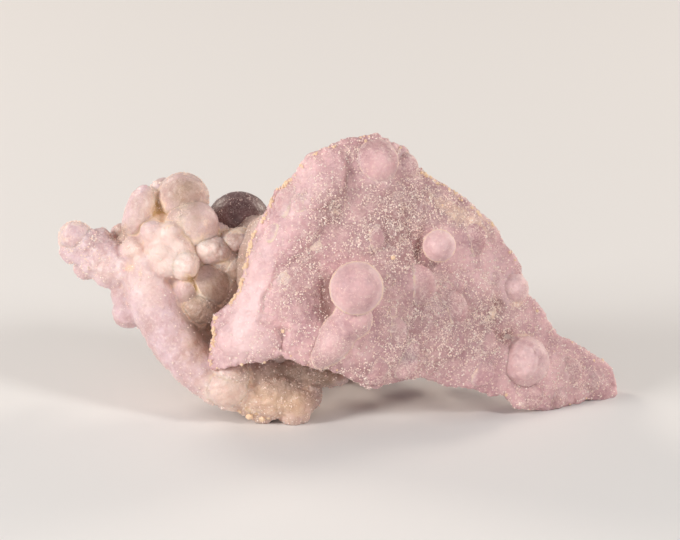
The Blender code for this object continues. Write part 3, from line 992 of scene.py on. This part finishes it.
def grow_druse(name, skin, count, seed, radii=CRYSTAL_RADII):
    """The quartz on a skin, as a piece of its own."""
    finished_piece(name, grown_crystals(skin, count, seed, radii), QUARTZ)
    skin.shade_smooth()


grow_druse("plate_druse", PLATE_SKIN, PLATE_CRYSTALS, PLATE_SEED)

# The cream grains. Beads of stained quartz, strung along the plate's broken left edge and
# under the front foot, with three larger ones that sit alone on the face.

GRAIN_RADII = (0.12, 0.28)
GRAIN_COUNT = 260
GRAIN_SEED = 35
GRAIN_CREAM = (0.90, 0.66, 0.45, 1.0)
GRAIN_ROUGHNESS = 0.45
# Under the foot: x, y, z, radius. Alone on the face: x, z, radius
FOOT_GRAINS = (
    (-13.9, -0.9, 2.1, 0.40),
    (-12.6, -0.9, 1.4, 0.62),
    (-11.6, -1.1, 1.9, 0.45),
    (-10.8, -0.8, 1.1, 0.62),
    (-9.9, -0.9, 1.3, 0.50),
)
LONE_GRAINS = (
    (7.7, 23.9, 0.46),
    (-7.7, 13.5, 0.42),
    (14.8, 31.4, 0.30),
)


def cream_grains():
    """Beads on places that the crust mask draws, alone on the face and under the foot."""
    draw = np.random.default_rng(GRAIN_SEED)
    points = points_of(PLATE_SKIN)
    chance = mask_of(PLATE_SKIN, "crust") ** 2
    chosen = draw.choice(len(points), size=GRAIN_COUNT, replace=False, p=chance / chance.sum())
    places = [(*points[index], draw.uniform(*GRAIN_RADII)) for index in chosen]
    places += [(x, face_depth_at(x, z), z, radius) for x, z, radius in LONE_GRAINS]
    places += FOOT_GRAINS
    work = bmesh.new()
    for x, y, z, radius in places:
        place = Matrix.Translation((x, y, z))
        turn = Matrix.Rotation(draw.uniform(0.0, math.pi), 4, "X")
        bmesh.ops.create_icosphere(work, subdivisions=1, radius=radius, matrix=place @ turn)
    return made_mesh("cream grains", work)


CREAM_QUARTZ = plain_material("cream quartz", GRAIN_CREAM, GRAIN_ROUGHNESS)
finished_piece("cream_grains", cream_grains(), CREAM_QUARTZ)
finished_piece("druzy_plate", PLATE_SKIN, PLATE_MATERIAL)

# The balls on the plate. A large ball with a second one below it that runs on as a tongue,
# a small ball, a dome at the top, the glassy domes by the tail, and low round domes.

BALL_RELIEF = 0.03
BALL_FINENESS = 5
BALL_CRYSTALS = 2400
BALL_CRYSTAL_RADII = (0.05, 0.13)
BALL_SEED = 36
# Balls that end in flat crystal faces
FACETED_BALLS = (
    (26.7, 9.1, 3.4, 3.4, 0.7),
    (25.0, 19.6, 2.2, 2.2, 0.3),
)
FACET_SIZE = 1.9
FACET_HEIGHT = 1.2
FACETED_EDGE = 1.5
# How far round a ball its ring of crystals and painted rim light reaches and its painted lighter
# edge begins, by the slope of its skin, and how far it stands out where crystals begin to grow
# on it
RING_SLOPES = (-0.44, 0.02)
RING_EASE = 0.2
EDGE_SLOPE = -0.78
EDGE_EASE = 0.45
SHOWN_STAND = 0.3


def lump_skin(lumps, grain, fill):
    """Lumps grown together: swollen, wrapped and drawn back, which rounds their creases."""
    work = bmesh.new()
    for x, y, z, wide, deep, high, *tilt in lumps:
        add_lump(work, x, y, z, wide + fill, deep + fill, high + fill, *tilt)
    mesh = closed_skin(work, grain)
    raise_skin(mesh, np.full(len(mesh.vertices), -fill))
    return mesh


def balls_skin():
    """The balls, the tongue and the low domes, with the masks that their colours follow."""
    work = bmesh.new()
    add_face_domes(work)
    for x, z, radius, stand in PLATE_BALLS:
        centre = (x, face_depth_at(x, z) - stand, z)
        add_lump(work, *centre, radius, radius, radius, fineness=BALL_FINENESS)
    tongue = [(x, face_depth_at(x, z) + sink, z, *size) for x, z, *size, sink in TONGUE]
    work.from_mesh(lump_skin(tongue, TONGUE_GRAIN, TONGUE_FILL))
    mesh = made_mesh("balls", work)
    points = points_of(mesh)
    x, y, z = points.T
    faceted = smooth_step(patches(x, z, FACETED_BALLS) * FACETED_EDGE)
    lift = BALL_RELIEF * clouds(points, 0.6) + 2.0 * BALL_RELIEF * clouds(points, 2.5)
    raise_skin(mesh, lift + FACET_HEIGHT * faceted * facets(points, FACET_SIZE))
    front = face_at(x, z)[0] - y
    away = normals_of(mesh)[:, 1]
    # Painted rim light: the ring and the edge paint each ball paler, creamier and frosted
    # towards its outline
    first, last = RING_SLOPES
    flank = smooth_step((away - first) / RING_EASE) * smooth_step((last - away) / RING_EASE)
    edge = smooth_step((away - EDGE_SLOPE) / EDGE_EASE)
    ring = np.maximum(np.exp(-(front / RING_WIDTH) ** 2), flank)
    ring *= 1.0 - RINGLESS * smooth_step(patches(x, z, RINGLESS_BALLS))
    shown = smooth_step(front / SHOWN_STAND)
    smooth = smooth_step(patches(x, z, SMOOTH_PATCHES))
    keep_masks(
        mesh,
        # Paler where the stone is milky, with painted rim light from the ring and the edge
        pale=patches(x, z, PALE_PATCHES) + 0.5 * ring + 0.45 * edge,
        hollow=np.zeros(len(points)),
        stain=0.6 * ring,
        dusk=0.4 * (1.0 - smooth),
        frost=0.15 + 0.6 * ring + 0.5 * (1.0 - smooth),
        druse=shown * (0.12 + 0.6 * (1.0 - smooth)) + 0.5 * ring,
    )
    return mesh


BALLS_SKIN = balls_skin()
grow_druse("ball_druse", BALLS_SKIN, BALL_CRYSTALS, BALL_SEED, BALL_CRYSTAL_RADII)
finished_piece("plate_balls", BALLS_SKIN, PLATE_MATERIAL)

# The bunch. Fingers and balls of paler, more glassy chalcedony that grew behind the
# plate's left edge, an arm that runs down from them, and a foot crusted with sugary grains.

# Lumps of the finger on the left, of the bunch itself, of the arm and of the foot: x, y, z,
# half width, half depth, half height and any tilt
FINGER = (
    (-37.6, 5.0, 26.7, 2.45, 2.45, 2.45),
    (-38.0, 4.6, 24.8, 1.8, 1.9, 1.7),
    (-36.0, 4.7, 25.3, 2.8, 2.6, 2.8),
    (-34.1, 4.5, 24.1, 3.1, 2.8, 3.1),
    (-32.3, 4.2, 22.9, 3.2, 2.8, 3.3),
    (-30.4, 3.8, 22.0, 2.8, 2.8, 2.8),
    (-36.0, 6.0, 22.4, 1.7, 1.9, 1.5),
    (-34.0, 5.6, 27.0, 1.3, 1.7, 1.1),
    (-31.1, 8.0, 27.3, 1.4, 1.8, 1.4),
    (-30.0, 7.0, 25.4, 2.2, 2.6, 2.2),
    (-29.9, 4.0, 16.2, 2.3, 2.3, 2.3),
    (-30.4, 3.8, 18.6, 2.0, 2.0, 2.2),
    (-29.6, 3.4, 20.4, 2.0, 2.0, 2.0),
)
BUNCH = (
    (-28.4, 3.2, 30.3, 2.0, 2.8, 4.0, 20.0),
    (-28.6, 4.6, 27.6, 2.0, 2.4, 2.0),
    (-22.2, 4.2, 32.4, 3.7, 3.6, 3.6),
    (-24.8, 5.2, 33.0, 2.6, 2.6, 2.2, -20.0),
    (-25.4, 5.0, 30.4, 2.9, 2.6, 3.1, -20.0),
    (-21.0, 2.2, 28.5, 3.6, 3.5, 3.5),
    (-24.9, 0.4, 26.2, 2.5, 2.4, 2.5),
    (-23.9, 0.0, 23.5, 2.4, 2.4, 2.4),
    (-22.3, 1.0, 25.8, 1.1, 1.4, 1.2),
    (-28.8, 2.2, 25.2, 2.0, 2.2, 1.9),
    (-26.4, -0.5, 27.5, 1.7, 1.6, 1.6),
    (-24.0, -1.0, 27.4, 1.5, 1.4, 1.5),
    (-22.6, -0.5, 25.5, 1.6, 1.6, 1.5),
    (-25.2, -1.2, 24.6, 1.6, 1.5, 1.5),
    (-27.2, 1.4, 23.2, 1.9, 2.0, 1.9),
    (-26.6, 4.0, 26.8, 2.8, 3.4, 3.6),
    (-21.8, -0.8, 22.9, 1.95, 1.9, 1.95),
    (-18.2, 2.6, 24.9, 2.6, 2.3, 1.9, 6.0),
    (-14.2, 3.6, 26.1, 3.1, 2.7, 2.0),
    (-15.9, 3.8, 25.0, 2.2, 2.2, 1.8),
    (-14.6, 3.0, 22.3, 2.2, 2.1, 2.2),
    (-17.0, 4.4, 20.0, 4.2, 4.0, 4.0),
    (-19.7, 2.2, 16.7, 2.8, 2.8, 2.7),
    (-21.6, 1.0, 19.2, 1.6, 1.6, 1.9),
    (-19.6, 2.6, 20.8, 2.4, 2.2, 2.6),
    (-20.0, 2.0, 11.6, 2.3, 2.4, 2.3),
    (-23.4, 4.6, 23.4, 5.4, 4.2, 6.0),
    (-18.6, 5.2, 26.0, 3.8, 3.4, 3.2),
    (-16.2, 2.2, 23.5, 2.5, 2.2, 2.4),
    (-18.9, 2.4, 27.0, 1.9, 1.8, 1.7),
    (-13.0, 3.2, 24.3, 2.2, 2.0, 2.2),
    (-20.2, 1.6, 24.6, 1.7, 1.7, 1.9),
    (-16.6, 5.6, 15.0, 3.8, 3.2, 4.4),
    (-16.2, 4.6, 9.6, 4.0, 3.2, 4.4),
)
ARM = (
    (-27.4, 2.0, 20.4, 3.2, 3.0, 3.2),
    (-26.9, 1.8, 19.0, 3.3, 3.1, 3.2),
    (-26.4, 1.6, 17.6, 3.35, 3.2, 3.35),
    (-25.8, 1.4, 16.2, 3.4, 3.25, 3.3),
    (-25.0, 1.2, 14.8, 3.4, 3.3, 3.4),
    (-24.1, 0.9, 13.4, 3.5, 3.3, 3.5),
    (-23.1, 0.7, 12.0, 3.6, 3.4, 3.5),
    (-22.0, 0.4, 10.7, 3.5, 3.4, 3.5),
    (-20.9, 0.2, 9.4, 3.5, 3.4, 3.4),
    (-19.9, 0.0, 8.4, 3.3, 3.3, 3.3),
    (-18.9, -0.3, 7.4, 3.2, 3.2, 3.2),
    (-17.2, -0.6, 6.0, 3.0, 3.0, 2.9),
)
FOOT = (
    (-15.9, -1.6, 5.6, 2.9, 2.6, 2.7),
    (-15.2, -2.2, 7.4, 2.6, 2.4, 2.1),
    (-15.0, -0.3, 4.4, 2.6, 2.6, 2.2),
    (-12.2, 0.4, 3.9, 2.7, 3.0, 2.5, -14.0),
    (-9.4, -0.2, 3.4, 3.0, 2.6, 2.4),
    (-8.9, 0.4, 5.0, 4.4, 3.3, 3.1),
    (-6.5, 0.3, 3.4, 3.2, 2.9, 3.0),
    (-6.3, 0.3, 2.25, 2.4, 2.4, 2.3),
    (-10.9, 0.6, 1.7, 1.8, 1.9, 1.3),
    (-4.2, 1.2, 4.4, 1.9, 2.4, 2.2),
    (-5.6, 1.6, 8.0, 5.2, 3.4, 2.9),
    (-1.2, 2.6, 7.2, 2.6, 2.8, 1.5, 15.0),
    (-11.0, 1.6, 7.6, 4.6, 4.0, 3.2),
)

# Balls that keep a crisp edge where they meet the rest of the bunch
BUNCH_BALLS = (
    (-14.6, 1.8, 22.5, 1.9, 1.9, 1.9),
    (-21.8, -1.1, 22.8, 1.9, 1.9, 1.95),
    (-17.9, 0.8, 24.9, 2.5, 2.1, 1.85, 10.0),
    (-14.2, 2.0, 26.3, 2.6, 2.4, 1.7),
    (-20.4, 1.7, 28.6, 3.35, 3.3, 3.35),
    (-28.5, 2.8, 30.4, 1.95, 2.7, 3.9, 20.0),
    (-22.2, 3.8, 32.5, 3.6, 3.5, 3.5),
    (-15.9, -2.0, 5.6, 2.9, 2.5, 2.8),
    (-37.5, 4.6, 26.7, 2.35, 2.35, 2.35),
    (-18.2, 2.0, 20.0, 3.1, 2.6, 3.2, 20.0),
    (-19.9, 1.4, 16.6, 2.3, 2.2, 2.3),
)

# The balls of the bunch that only show from behind
BUNCH_BACK = (
    (-23.0, 9.6, 27.2, 3.6, 3.4, 3.6),
    (-26.4, 8.4, 22.4, 3.3, 3.2, 3.3),
    (-19.0, 11.2, 22.4, 3.7, 3.6, 3.7),
    (-22.6, 10.4, 18.4, 3.2, 3.2, 3.2),
    (-27.2, 12.6, 16.2, 2.8, 2.8, 2.8),
    (-25.2, 10.4, 18.6, 2.6, 2.8, 2.6),
    (-22.2, 5.6, 14.6, 3.4, 3.2, 3.6),
)

# Patches, each x, z, half length, half width, strength and any tilt: sugary with crystals,
# smoky stone and painted shade, milky stone and painted highlights, peach, painted deep shade,
# and stained ochre
SUGARY_PATCHES = (
    (-10.0, 4.0, 4.5, 8.0, 0.6),
    (-2.0, 7.5, 2.5, 5.0, 0.6),
    (-34.5, 24.5, 3.5, 5.0, 0.85),
    (-21.8, 22.8, 2.0, 2.0, 0.4),
    (-17.8, 24.9, 2.0, 2.4, 0.4),
    (-27.5, 31.5, 2.5, 1.5, 0.4, 20.0),
    (-17.5, 26.0, 1.8, 5.0, 0.4),
)
DUSK_PATCHES = (
    (-17.2, 18.8, 4.2, 3.4, 1.0, 20.0),
    (-19.9, 16.2, 3.0, 2.6, 0.9),
    (-28.3, 30.6, 3.4, 1.8, 0.35, 20.0),
    (-20.4, 28.6, 3.0, 3.0, 0.45),
    (-22.4, 32.6, 3.0, 3.4, 0.3),
    (-6.4, 4.2, 3.4, 3.2, 0.3),
    (-10.0, 5.4, 1.6, 3.0, 0.35),
    (-14.2, 26.4, 2.2, 2.4, 0.6),
    (-14.4, 22.0, 2.6, 2.4, 0.6),
    (-21.5, 33.8, 2.6, 3.6, 0.7),
    (-31.1, 27.6, 1.4, 1.4, 0.9),
    (-6.8, 7.9, 2.2, 5.6, 0.95),
    (-1.1, 7.2, 1.8, 2.8, 0.9),
    (-18.4, 13.2, 2.2, 1.6, 0.8),
)
MILKY_PATCHES = (
    (-24.4, 27.0, 2.6, 3.0, 1.0),
    (-21.7, 22.9, 2.2, 2.2, 1.0),
    (-17.8, 24.9, 2.2, 2.8, 1.0),
    (-24.4, 23.4, 2.2, 2.4, 0.8),
    (-28.9, 25.1, 1.6, 1.8, 0.6),
    (-27.0, 20.0, 4.0, 3.0, 0.5),
    (-33.0, 22.6, 2.6, 3.4, 0.4),
    (-15.8, 5.4, 2.2, 2.2, 0.1),
    (-27.2, 31.6, 3.4, 0.6, 1.0, 20.0),
)
PEACH_PATCHES = (
    (-12.5, 4.2, 4.5, 6.5, 0.75),
    (-6.0, 3.4, 3.5, 4.0, 0.65),
    (-19.9, 11.5, 2.6, 2.4, 0.5),
    (-28.9, 25.0, 2.2, 2.0, 0.4),
)
SHADED_PATCHES = (
    (-1.1, 7.2, 2.0, 3.4, 0.7),
    (-18.6, 13.0, 1.5, 1.4, 0.3),
    (-5.5, 9.0, 1.2, 4.0, 0.25),
)
BUNCH_STAINS = (
    (-25.6, 30.6, 1.3, 1.0, 0.8),
    (-24.3, 28.6, 0.8, 1.2, 0.6),
    (-20.2, 19.7, 1.7, 0.35, 1.0, -35.0),
    (-16.3, 23.2, 0.9, 1.2, 0.55),
    (-19.4, 26.4, 0.7, 1.0, 0.6),
    (-16.0, 26.2, 1.2, 0.5, 0.7),
    (-14.8, 27.7, 0.5, 2.2, 0.8),
    (-12.4, 27.6, 1.2, 0.8, 0.9),
    (-18.6, 28.6, 1.6, 0.8, 0.5),
    (-29.6, 22.3, 0.6, 0.9, 0.6),
    (-28.1, 21.6, 1.2, 0.5, 0.5),
    (-21.0, 21.0, 0.6, 1.2, 0.6),
    (-13.0, 2.5, 1.3, 0.35, 0.9, -40.0),
    (-11.5, 2.0, 0.8, 1.6, 0.5),
    (-13.0, 8.0, 0.8, 1.6, 0.6, 60.0),
    (-4.4, 4.6, 1.2, 1.6, 0.4),
    (-7.3, 3.0, 1.0, 1.4, 0.35),
)

CREASE_FILL = 0.25
SEAM_REACH = 2.0
SEAM_WIDTH = 0.3
SEAM_HALO = 0.9
BUNCH_FRONT = 2.0
BUNCH_FRONT_EASE = 3.0
BUNCH_EDGE_SLOPE = -0.62
BUNCH_EDGE_EASE = 0.5
# The cleft between the bunch and the plate, where quartz grows thickly: x, y, and its easing
CLEFT = (-22.0, 2.5)
CLEFT_EASE = (3.0, 3.5)
BUNCH_PASSES = 110
BUNCH_DOME = 2.4
BUNCH_BEAD = 0.75
BUNCH_FACET = 1.5
BUNCH_CRYSTALS = 8500
BUNCH_SEED = 32


def seam_gaps(mesh, other):
    """How far each point of a skin lies from another skin, up to the seam's reach."""
    faces = [face.vertices for face in other.polygons]
    tree = BVHTree.FromPolygons([vert.co for vert in other.vertices], faces)
    gaps = [tree.find_nearest(vert.co, SEAM_REACH)[3] for vert in mesh.vertices]
    return np.array([SEAM_REACH if gap is None else gap for gap in gaps])


def bunch_masks(mesh, deep, gaps):
    """The masks that the bunch's colours follow, from its hollows and its seams, with painted
    shade and painted rim light among them.
    """
    points = points_of(mesh)
    away = normals_of(mesh)[:, 1]
    x, y, z = points.T
    sugary = np.clip(patches(x, z, SUGARY_PATCHES), 0.0, 1.0)
    across = smooth_step((x - CLEFT[0]) / CLEFT_EASE[0])
    cleft = smooth_step((y - CLEFT[1]) / CLEFT_EASE[1]) * across
    crust = np.clip(patches(x, z, BUNCH_STAINS), 0.0, 1.0)
    seam = np.exp(-(gaps / SEAM_WIDTH) ** 2)
    front = smooth_step((BUNCH_FRONT - y) / BUNCH_FRONT_EASE)
    # Painted rim light: paler near the seams with the crisp balls and towards the lobes'
    # outlines, on the front only
    halo = np.exp(-(gaps / SEAM_HALO) ** 2) * front
    edge = smooth_step((away - BUNCH_EDGE_SLOPE) / BUNCH_EDGE_EASE) * front
    keep_masks(
        mesh,
        # Painted shade: darker in the bunch's creases and in patches of deep shade
        hollow=(deep - 0.35) / 1.3 + patches(x, z, SHADED_PATCHES),
        # Smoky stone, and painted shade in the recesses under the plate and beside the arm
        dusk=patches(x, z, DUSK_PATCHES),
        peach=patches(x, z, PEACH_PATCHES),
        milk=patches(x, z, MILKY_PATCHES) + 0.4 * halo + 0.3 * edge,
        stain=0.85 * crust + 0.36 * smooth_step(deep / 0.4) + 0.42 * seam,
        frost=0.12 + 0.4 * sugary + 0.4 * crust + 0.3 * seam,
        druse=0.02 + 0.5 * sugary + 0.45 * cleft + 0.5 * crust + 0.3 * seam,
    )


def roughened(mesh):
    """The small relief of the bunch: packed domes, beads and flat crystal faces."""
    points = points_of(mesh)
    x, _, z = points.T
    sugary = np.clip(patches(x, z, SUGARY_PATCHES), 0.0, 1.0)
    warp = WARP * BUNCH_DOME * clouds(points, BUNCH_DOME)[:, None]
    tops, _ = packed_domes(points + warp, BUNCH_DOME)
    beads, _ = packed_domes(points, BUNCH_BEAD)
    lift = 0.12 * tops + (0.03 + 0.09 * sugary) * beads + 0.12 * clouds(points, 3.0)
    lift += (0.14 + 0.95 * sugary) * facets(points, BUNCH_FACET) + 0.03 * clouds(points, 0.5)
    raise_skin(mesh, lift)


def bunch_skin():
    mesh = lump_skin(FINGER + BUNCH + ARM + FOOT + BUNCH_BACK, SKIN_GRAIN, CREASE_FILL)
    roughened(mesh)
    return mesh


def bunch_balls():
    """The bunch's crisp balls, each a shell of its own sunk in the bunch."""
    work = bmesh.new()
    for lump in BUNCH_BALLS:
        add_lump(work, *lump, fineness=BALL_FINENESS)
    mesh = made_mesh("balls", work)
    roughened(mesh)
    return mesh


PEARL = (0.76, 0.56, 0.60, 1.0)
FLESH = (0.61, 0.40, 0.40, 1.0)
WHITE = (0.93, 0.78, 0.72, 1.0)
# Smoky stone, and painted shade in the bunch's recesses
SMOKE = (0.48, 0.325, 0.25, 1.0)
# Milky stone, and painted rim light on the bunch's lobes
MILK = (0.93, 0.72, 0.66, 1.0)
PEACH = (0.74, 0.49, 0.31, 1.0)
# Painted shade in the creases of the bunch and the hind growth
UMBER = (0.30, 0.17, 0.10, 1.0)

BUNCH_MATERIAL = chalcedony(
    "pale chalcedony",
    {"Deep": FLESH, "Pale": PEARL, "Fleck": WHITE, "Flecks": 0.4, "Cloud Scale": 330.0},
    # The milky tint is partly painted rim light, the smoky one partly painted shade, the last
    # painted shade
    (("peach", PEACH), ("milk", MILK), ("dusk", SMOKE), ("hollow", UMBER)),
    {"roughness": 0.38, "glow": 0.6, "glow reach": 0.0018, "coat": 0.15, "grain": 0.8},
)
BUNCH_SKIN = bunch_skin()
BUNCH_BALLS_SKIN = bunch_balls()
BUNCH_GAPS = seam_gaps(BUNCH_SKIN, BUNCH_BALLS_SKIN)
bunch_masks(BUNCH_SKIN, hollowness(BUNCH_SKIN, BUNCH_PASSES), BUNCH_GAPS)
NO_HOLLOW = np.zeros(len(BUNCH_BALLS_SKIN.vertices))
bunch_masks(BUNCH_BALLS_SKIN, NO_HOLLOW, seam_gaps(BUNCH_BALLS_SKIN, BUNCH_SKIN))
grow_druse("bunch_druse", BUNCH_SKIN, BUNCH_CRYSTALS, BUNCH_SEED)
finished_piece("botryoidal_bunch", BUNCH_SKIN, BUNCH_MATERIAL)
BUNCH_BALLS_SKIN.shade_smooth()
finished_piece("bunch_balls", BUNCH_BALLS_SKIN, BUNCH_MATERIAL)

# The hidden side. A stock of the same pale chalcedony that grew on the back of the plate,
# and more balls out of it, down to the hind foot on which the specimen leans.

STOCK = (
    (-8.0, 1.6, 22.0, 6.5, 6.2, 8.5, -8.0),
    (-9.0, 2.4, 13.0, 6.0, 5.0, 6.0),
    (0.0, 1.8, 21.5, 7.0, 6.4, 8.5),
    (0.5, 1.0, 31.0, 5.6, 4.6, 6.0),
    (7.6, 2.8, 20.0, 6.0, 5.2, 7.4),
    (15.0, 3.4, 17.4, 6.0, 3.8, 6.4),
    (22.5, 5.8, 12.8, 5.4, 3.4, 4.8),
    (-2.0, 6.6, 14.6, 5.0, 5.0, 4.8),
)
HIND_BALLS = (
    (-11.6, 7.6, 26.4, 3.6, 4.2, 3.6),
    (-6.4, 9.4, 25.4, 3.9, 3.8, 3.9),
    (-1.2, 7.6, 29.0, 3.4, 3.2, 3.4),
    (0.8, 10.2, 22.4, 4.2, 3.9, 4.2),
    (6.6, 8.8, 25.6, 3.2, 3.0, 3.2),
    (6.8, 9.2, 18.6, 3.5, 3.4, 3.5),
    (12.6, 8.0, 20.6, 3.0, 3.0, 3.0),
    (-8.6, 10.0, 18.6, 4.2, 4.0, 4.2),
    (-13.4, 9.6, 15.6, 3.2, 3.0, 3.2),
    (-4.6, 11.6, 13.6, 3.4, 3.3, 3.4),
    (17.6, 8.0, 14.6, 2.6, 2.6, 2.6),
    (12.6, 8.8, 14.4, 2.9, 3.2, 2.9),
    (14.4, 14.4, 9.4, 2.15, 2.15, 2.15),
    (13.4, 11.8, 11.9, 2.2, 2.6, 2.2),
    (3.0, 12.6, 15.6, 3.7, 3.6, 3.7),
    (2.6, 16.4, 12.6, 3.3, 3.2, 3.3),
    (2.0, 19.6, 9.3, 3.1, 3.1, 3.1),
)
# Where the growth lies in the shade between the bunch and the plate
HIND_SHADE = ((-14.0, 24.0, 5.0, 2.6, 0.7),)
SHADE_DEPTH = 9.0
SHADE_EASE = 3.0
HIND_GRAIN = 1.25 * SKIN_GRAIN
HIND_DOME = 1.9
HIND_WARP = 0.5
HIND_FACET = 1.3
HIND_PASSES = 80
HIND_CRYSTALS = 6000
HIND_SEED = 33


def hind_skin():
    """The hind growth's skin, with its relief and its masks."""
    mesh = lump_skin(STOCK + HIND_BALLS, HIND_GRAIN, CREASE_FILL)
    points = points_of(mesh)
    x, y, z = points.T
    warp = HIND_WARP * clouds(points, HIND_DOME)[:, None]
    tops, creases = packed_domes(points + warp, HIND_DOME)
    lift = 0.20 * tops + 0.16 * clouds(points, 3.0) + 0.2 * facets(points, HIND_FACET)
    raise_skin(mesh, lift)
    deep = hollowness(mesh, HIND_PASSES)
    shade = patches(x, z, HIND_SHADE) * smooth_step((SHADE_DEPTH - y) / SHADE_EASE)
    keep_masks(
        mesh,
        # Painted shade: darker in the creases of the hind growth
        hollow=deep / 0.75,
        # Smoky stone, and painted shade where the growth lies between the bunch and the plate
        dusk=0.35 + 0.3 * clouds(points, 7.0) + shade,
        peach=0.3 - 0.3 * clouds(points, 9.0),
        milk=np.zeros(len(points)),
        stain=0.1 + 0.4 * smooth_step(deep / 0.5),
        frost=0.2 + 0.3 * creases,
        druse=0.05 + 0.6 * creases + 0.3 * smooth_step(deep / 0.4),
    )
    return mesh


HIND_SKIN = hind_skin()
grow_druse("hind_druse", HIND_SKIN, HIND_CRYSTALS, HIND_SEED)
finished_piece("hind_growth", HIND_SKIN, BUNCH_MATERIAL)

# The dark ball. One ball of the hidden side is smoky purple, almost brown, and looks out
# between the bunch and the plate; its near-black colour is partly painted shade. Frost-like
# flecks lie on its top.

DARK_BALL = (-14.3, 10.6, 29.1, 4.6, 4.4, 4.4)
# Near black: the stone's smoky colour, partly painted shade
DARK = (0.13, 0.066, 0.062, 1.0)
DUSKY = (0.24, 0.13, 0.13, 1.0)
GREY_FROST = (0.50, 0.36, 0.36, 1.0)
FROSTED_TOP = 2.0
DARK_CRYSTALS = 420
DARK_CRYSTAL_RADII = (0.05, 0.11)
DARK_SEED = 34


def dark_skin():
    """The dark ball's skin, frosted on its top."""
    mesh = lump_skin((DARK_BALL,), SKIN_GRAIN, 0.0)
    points = points_of(mesh)
    raise_skin(mesh, 0.06 * clouds(points, 2.0) + 0.02 * clouds(points, 0.5))
    top = smooth_step((points[:, 2] - DARK_BALL[2] + FROSTED_TOP) / (2.0 * FROSTED_TOP))
    keep_masks(
        mesh,
        stain=np.zeros(len(points)),
        frost=0.03 + 0.25 * top,
        druse=top * (0.2 + smooth_step(clouds(points, 1.6))),
    )
    return mesh


DARK_MATERIAL = chalcedony(
    "smoky chalcedony",
    {"Deep": DARK, "Pale": DUSKY, "Fleck": GREY_FROST, "Flecks": 0.35, "Fleck Scale": 1800.0},
    (),
    {"roughness": 0.42, "glow": 0.1, "glow reach": 0.0012, "coat": 0.1, "grain": 0.3},
)
DARK_SKIN = dark_skin()
grow_druse("dark_ball_frost", DARK_SKIN, DARK_CRYSTALS, DARK_SEED, DARK_CRYSTAL_RADII)
finished_piece("dark_ball", DARK_SKIN, DARK_MATERIAL)

# The floor, the light and the camera. A plain pale table, soft studio lamps, and a long
# lens that looks along the plate's own square-on direction, a little down on it.

FLOOR_SIZE = 4.0
FLOOR_COLOUR = (0.78, 0.77, 0.76, 1.0)
FLOOR_ROUGHNESS = 0.6


def floor():
    work = bmesh.new()
    bmesh.ops.create_grid(work, x_segments=1, y_segments=1, size=FLOOR_SIZE / 2)
    mesh = made_mesh("floor", work)
    mesh.materials.append(plain_material("pale table", FLOOR_COLOUR, FLOOR_ROUGHNESS))
    piece = placed_object("floor", mesh)


# Disc lamps: name, place and size in metres, power, colour
LAMPS = (
    ("left", (-0.45, -0.26, 0.24), 0.20, 2.2, (1.0, 0.97, 0.93)),
    ("right", (0.40, -0.30, 0.34), 0.16, 1.5, (1.0, 0.97, 0.93)),
    ("front", (-0.05, -0.80, 0.42), 0.50, 0.8, (1.0, 0.98, 0.96)),
    ("back_left", (-0.30, 0.32, 0.26), 0.16, 0.9, (1.0, 0.88, 0.76)),
    ("back_right", (0.34, 0.30, 0.22), 0.16, 0.9, (1.0, 0.88, 0.76)),
)
LAMPS_AIM = (0.0, 0.0, 0.018)
SKY_COLOUR = (0.93, 0.94, 1.0, 1.0)
SKY_STRENGTH = 0.22


def turned_to(aim, place):
    return (Vector(aim) - Vector(place)).to_track_quat("-Z", "Y").to_euler()


def lamp(name, place, size, power, colour):
    data = bpy.data.lights.new(name, "AREA")
    data.shape = "DISK"
    data.size = size
    data.energy = power
    data.color = colour
    made = placed_object(name, data)
    made.location = place
    made.rotation_euler = turned_to(LAMPS_AIM, place)


# The picture, in pixels and in millimetres of the square-on layout
PICTURE_WIDTH = 680
PIXELS_PER_MM = 7.04
PICTURE_CENTRE = (0.28, -2.0, 22.16)
CAMERA_DISTANCE = 900.0
SENSOR_WIDTH = 36.0


def camera():
    data = bpy.data.cameras.new("camera")
    data.sensor_width = SENSOR_WIDTH
    data.lens = SENSOR_WIDTH * CAMERA_DISTANCE * PIXELS_PER_MM / PICTURE_WIDTH
    data.clip_start = 0.01
    data.clip_end = 20.0
    made = placed_object("camera", data)
    x, y, z = PICTURE_CENTRE
    made.location = STANCE @ Vector((x, y - CAMERA_DISTANCE, z))
    made.rotation_euler = turned_to(STANCE @ Vector(PICTURE_CENTRE), made.location)
    bpy.context.scene.camera = made


def studio():
    world = bpy.data.worlds.new("studio")
    world.use_nodes = True
    background = world.node_tree.nodes["Background"]
    background.inputs["Color"].default_value = SKY_COLOUR
    background.inputs["Strength"].default_value = SKY_STRENGTH
    bpy.context.scene.world = world
    bpy.context.scene.view_settings.view_transform = "Standard"
    for values in LAMPS:
        lamp(*values)


floor()
camera()
studio()
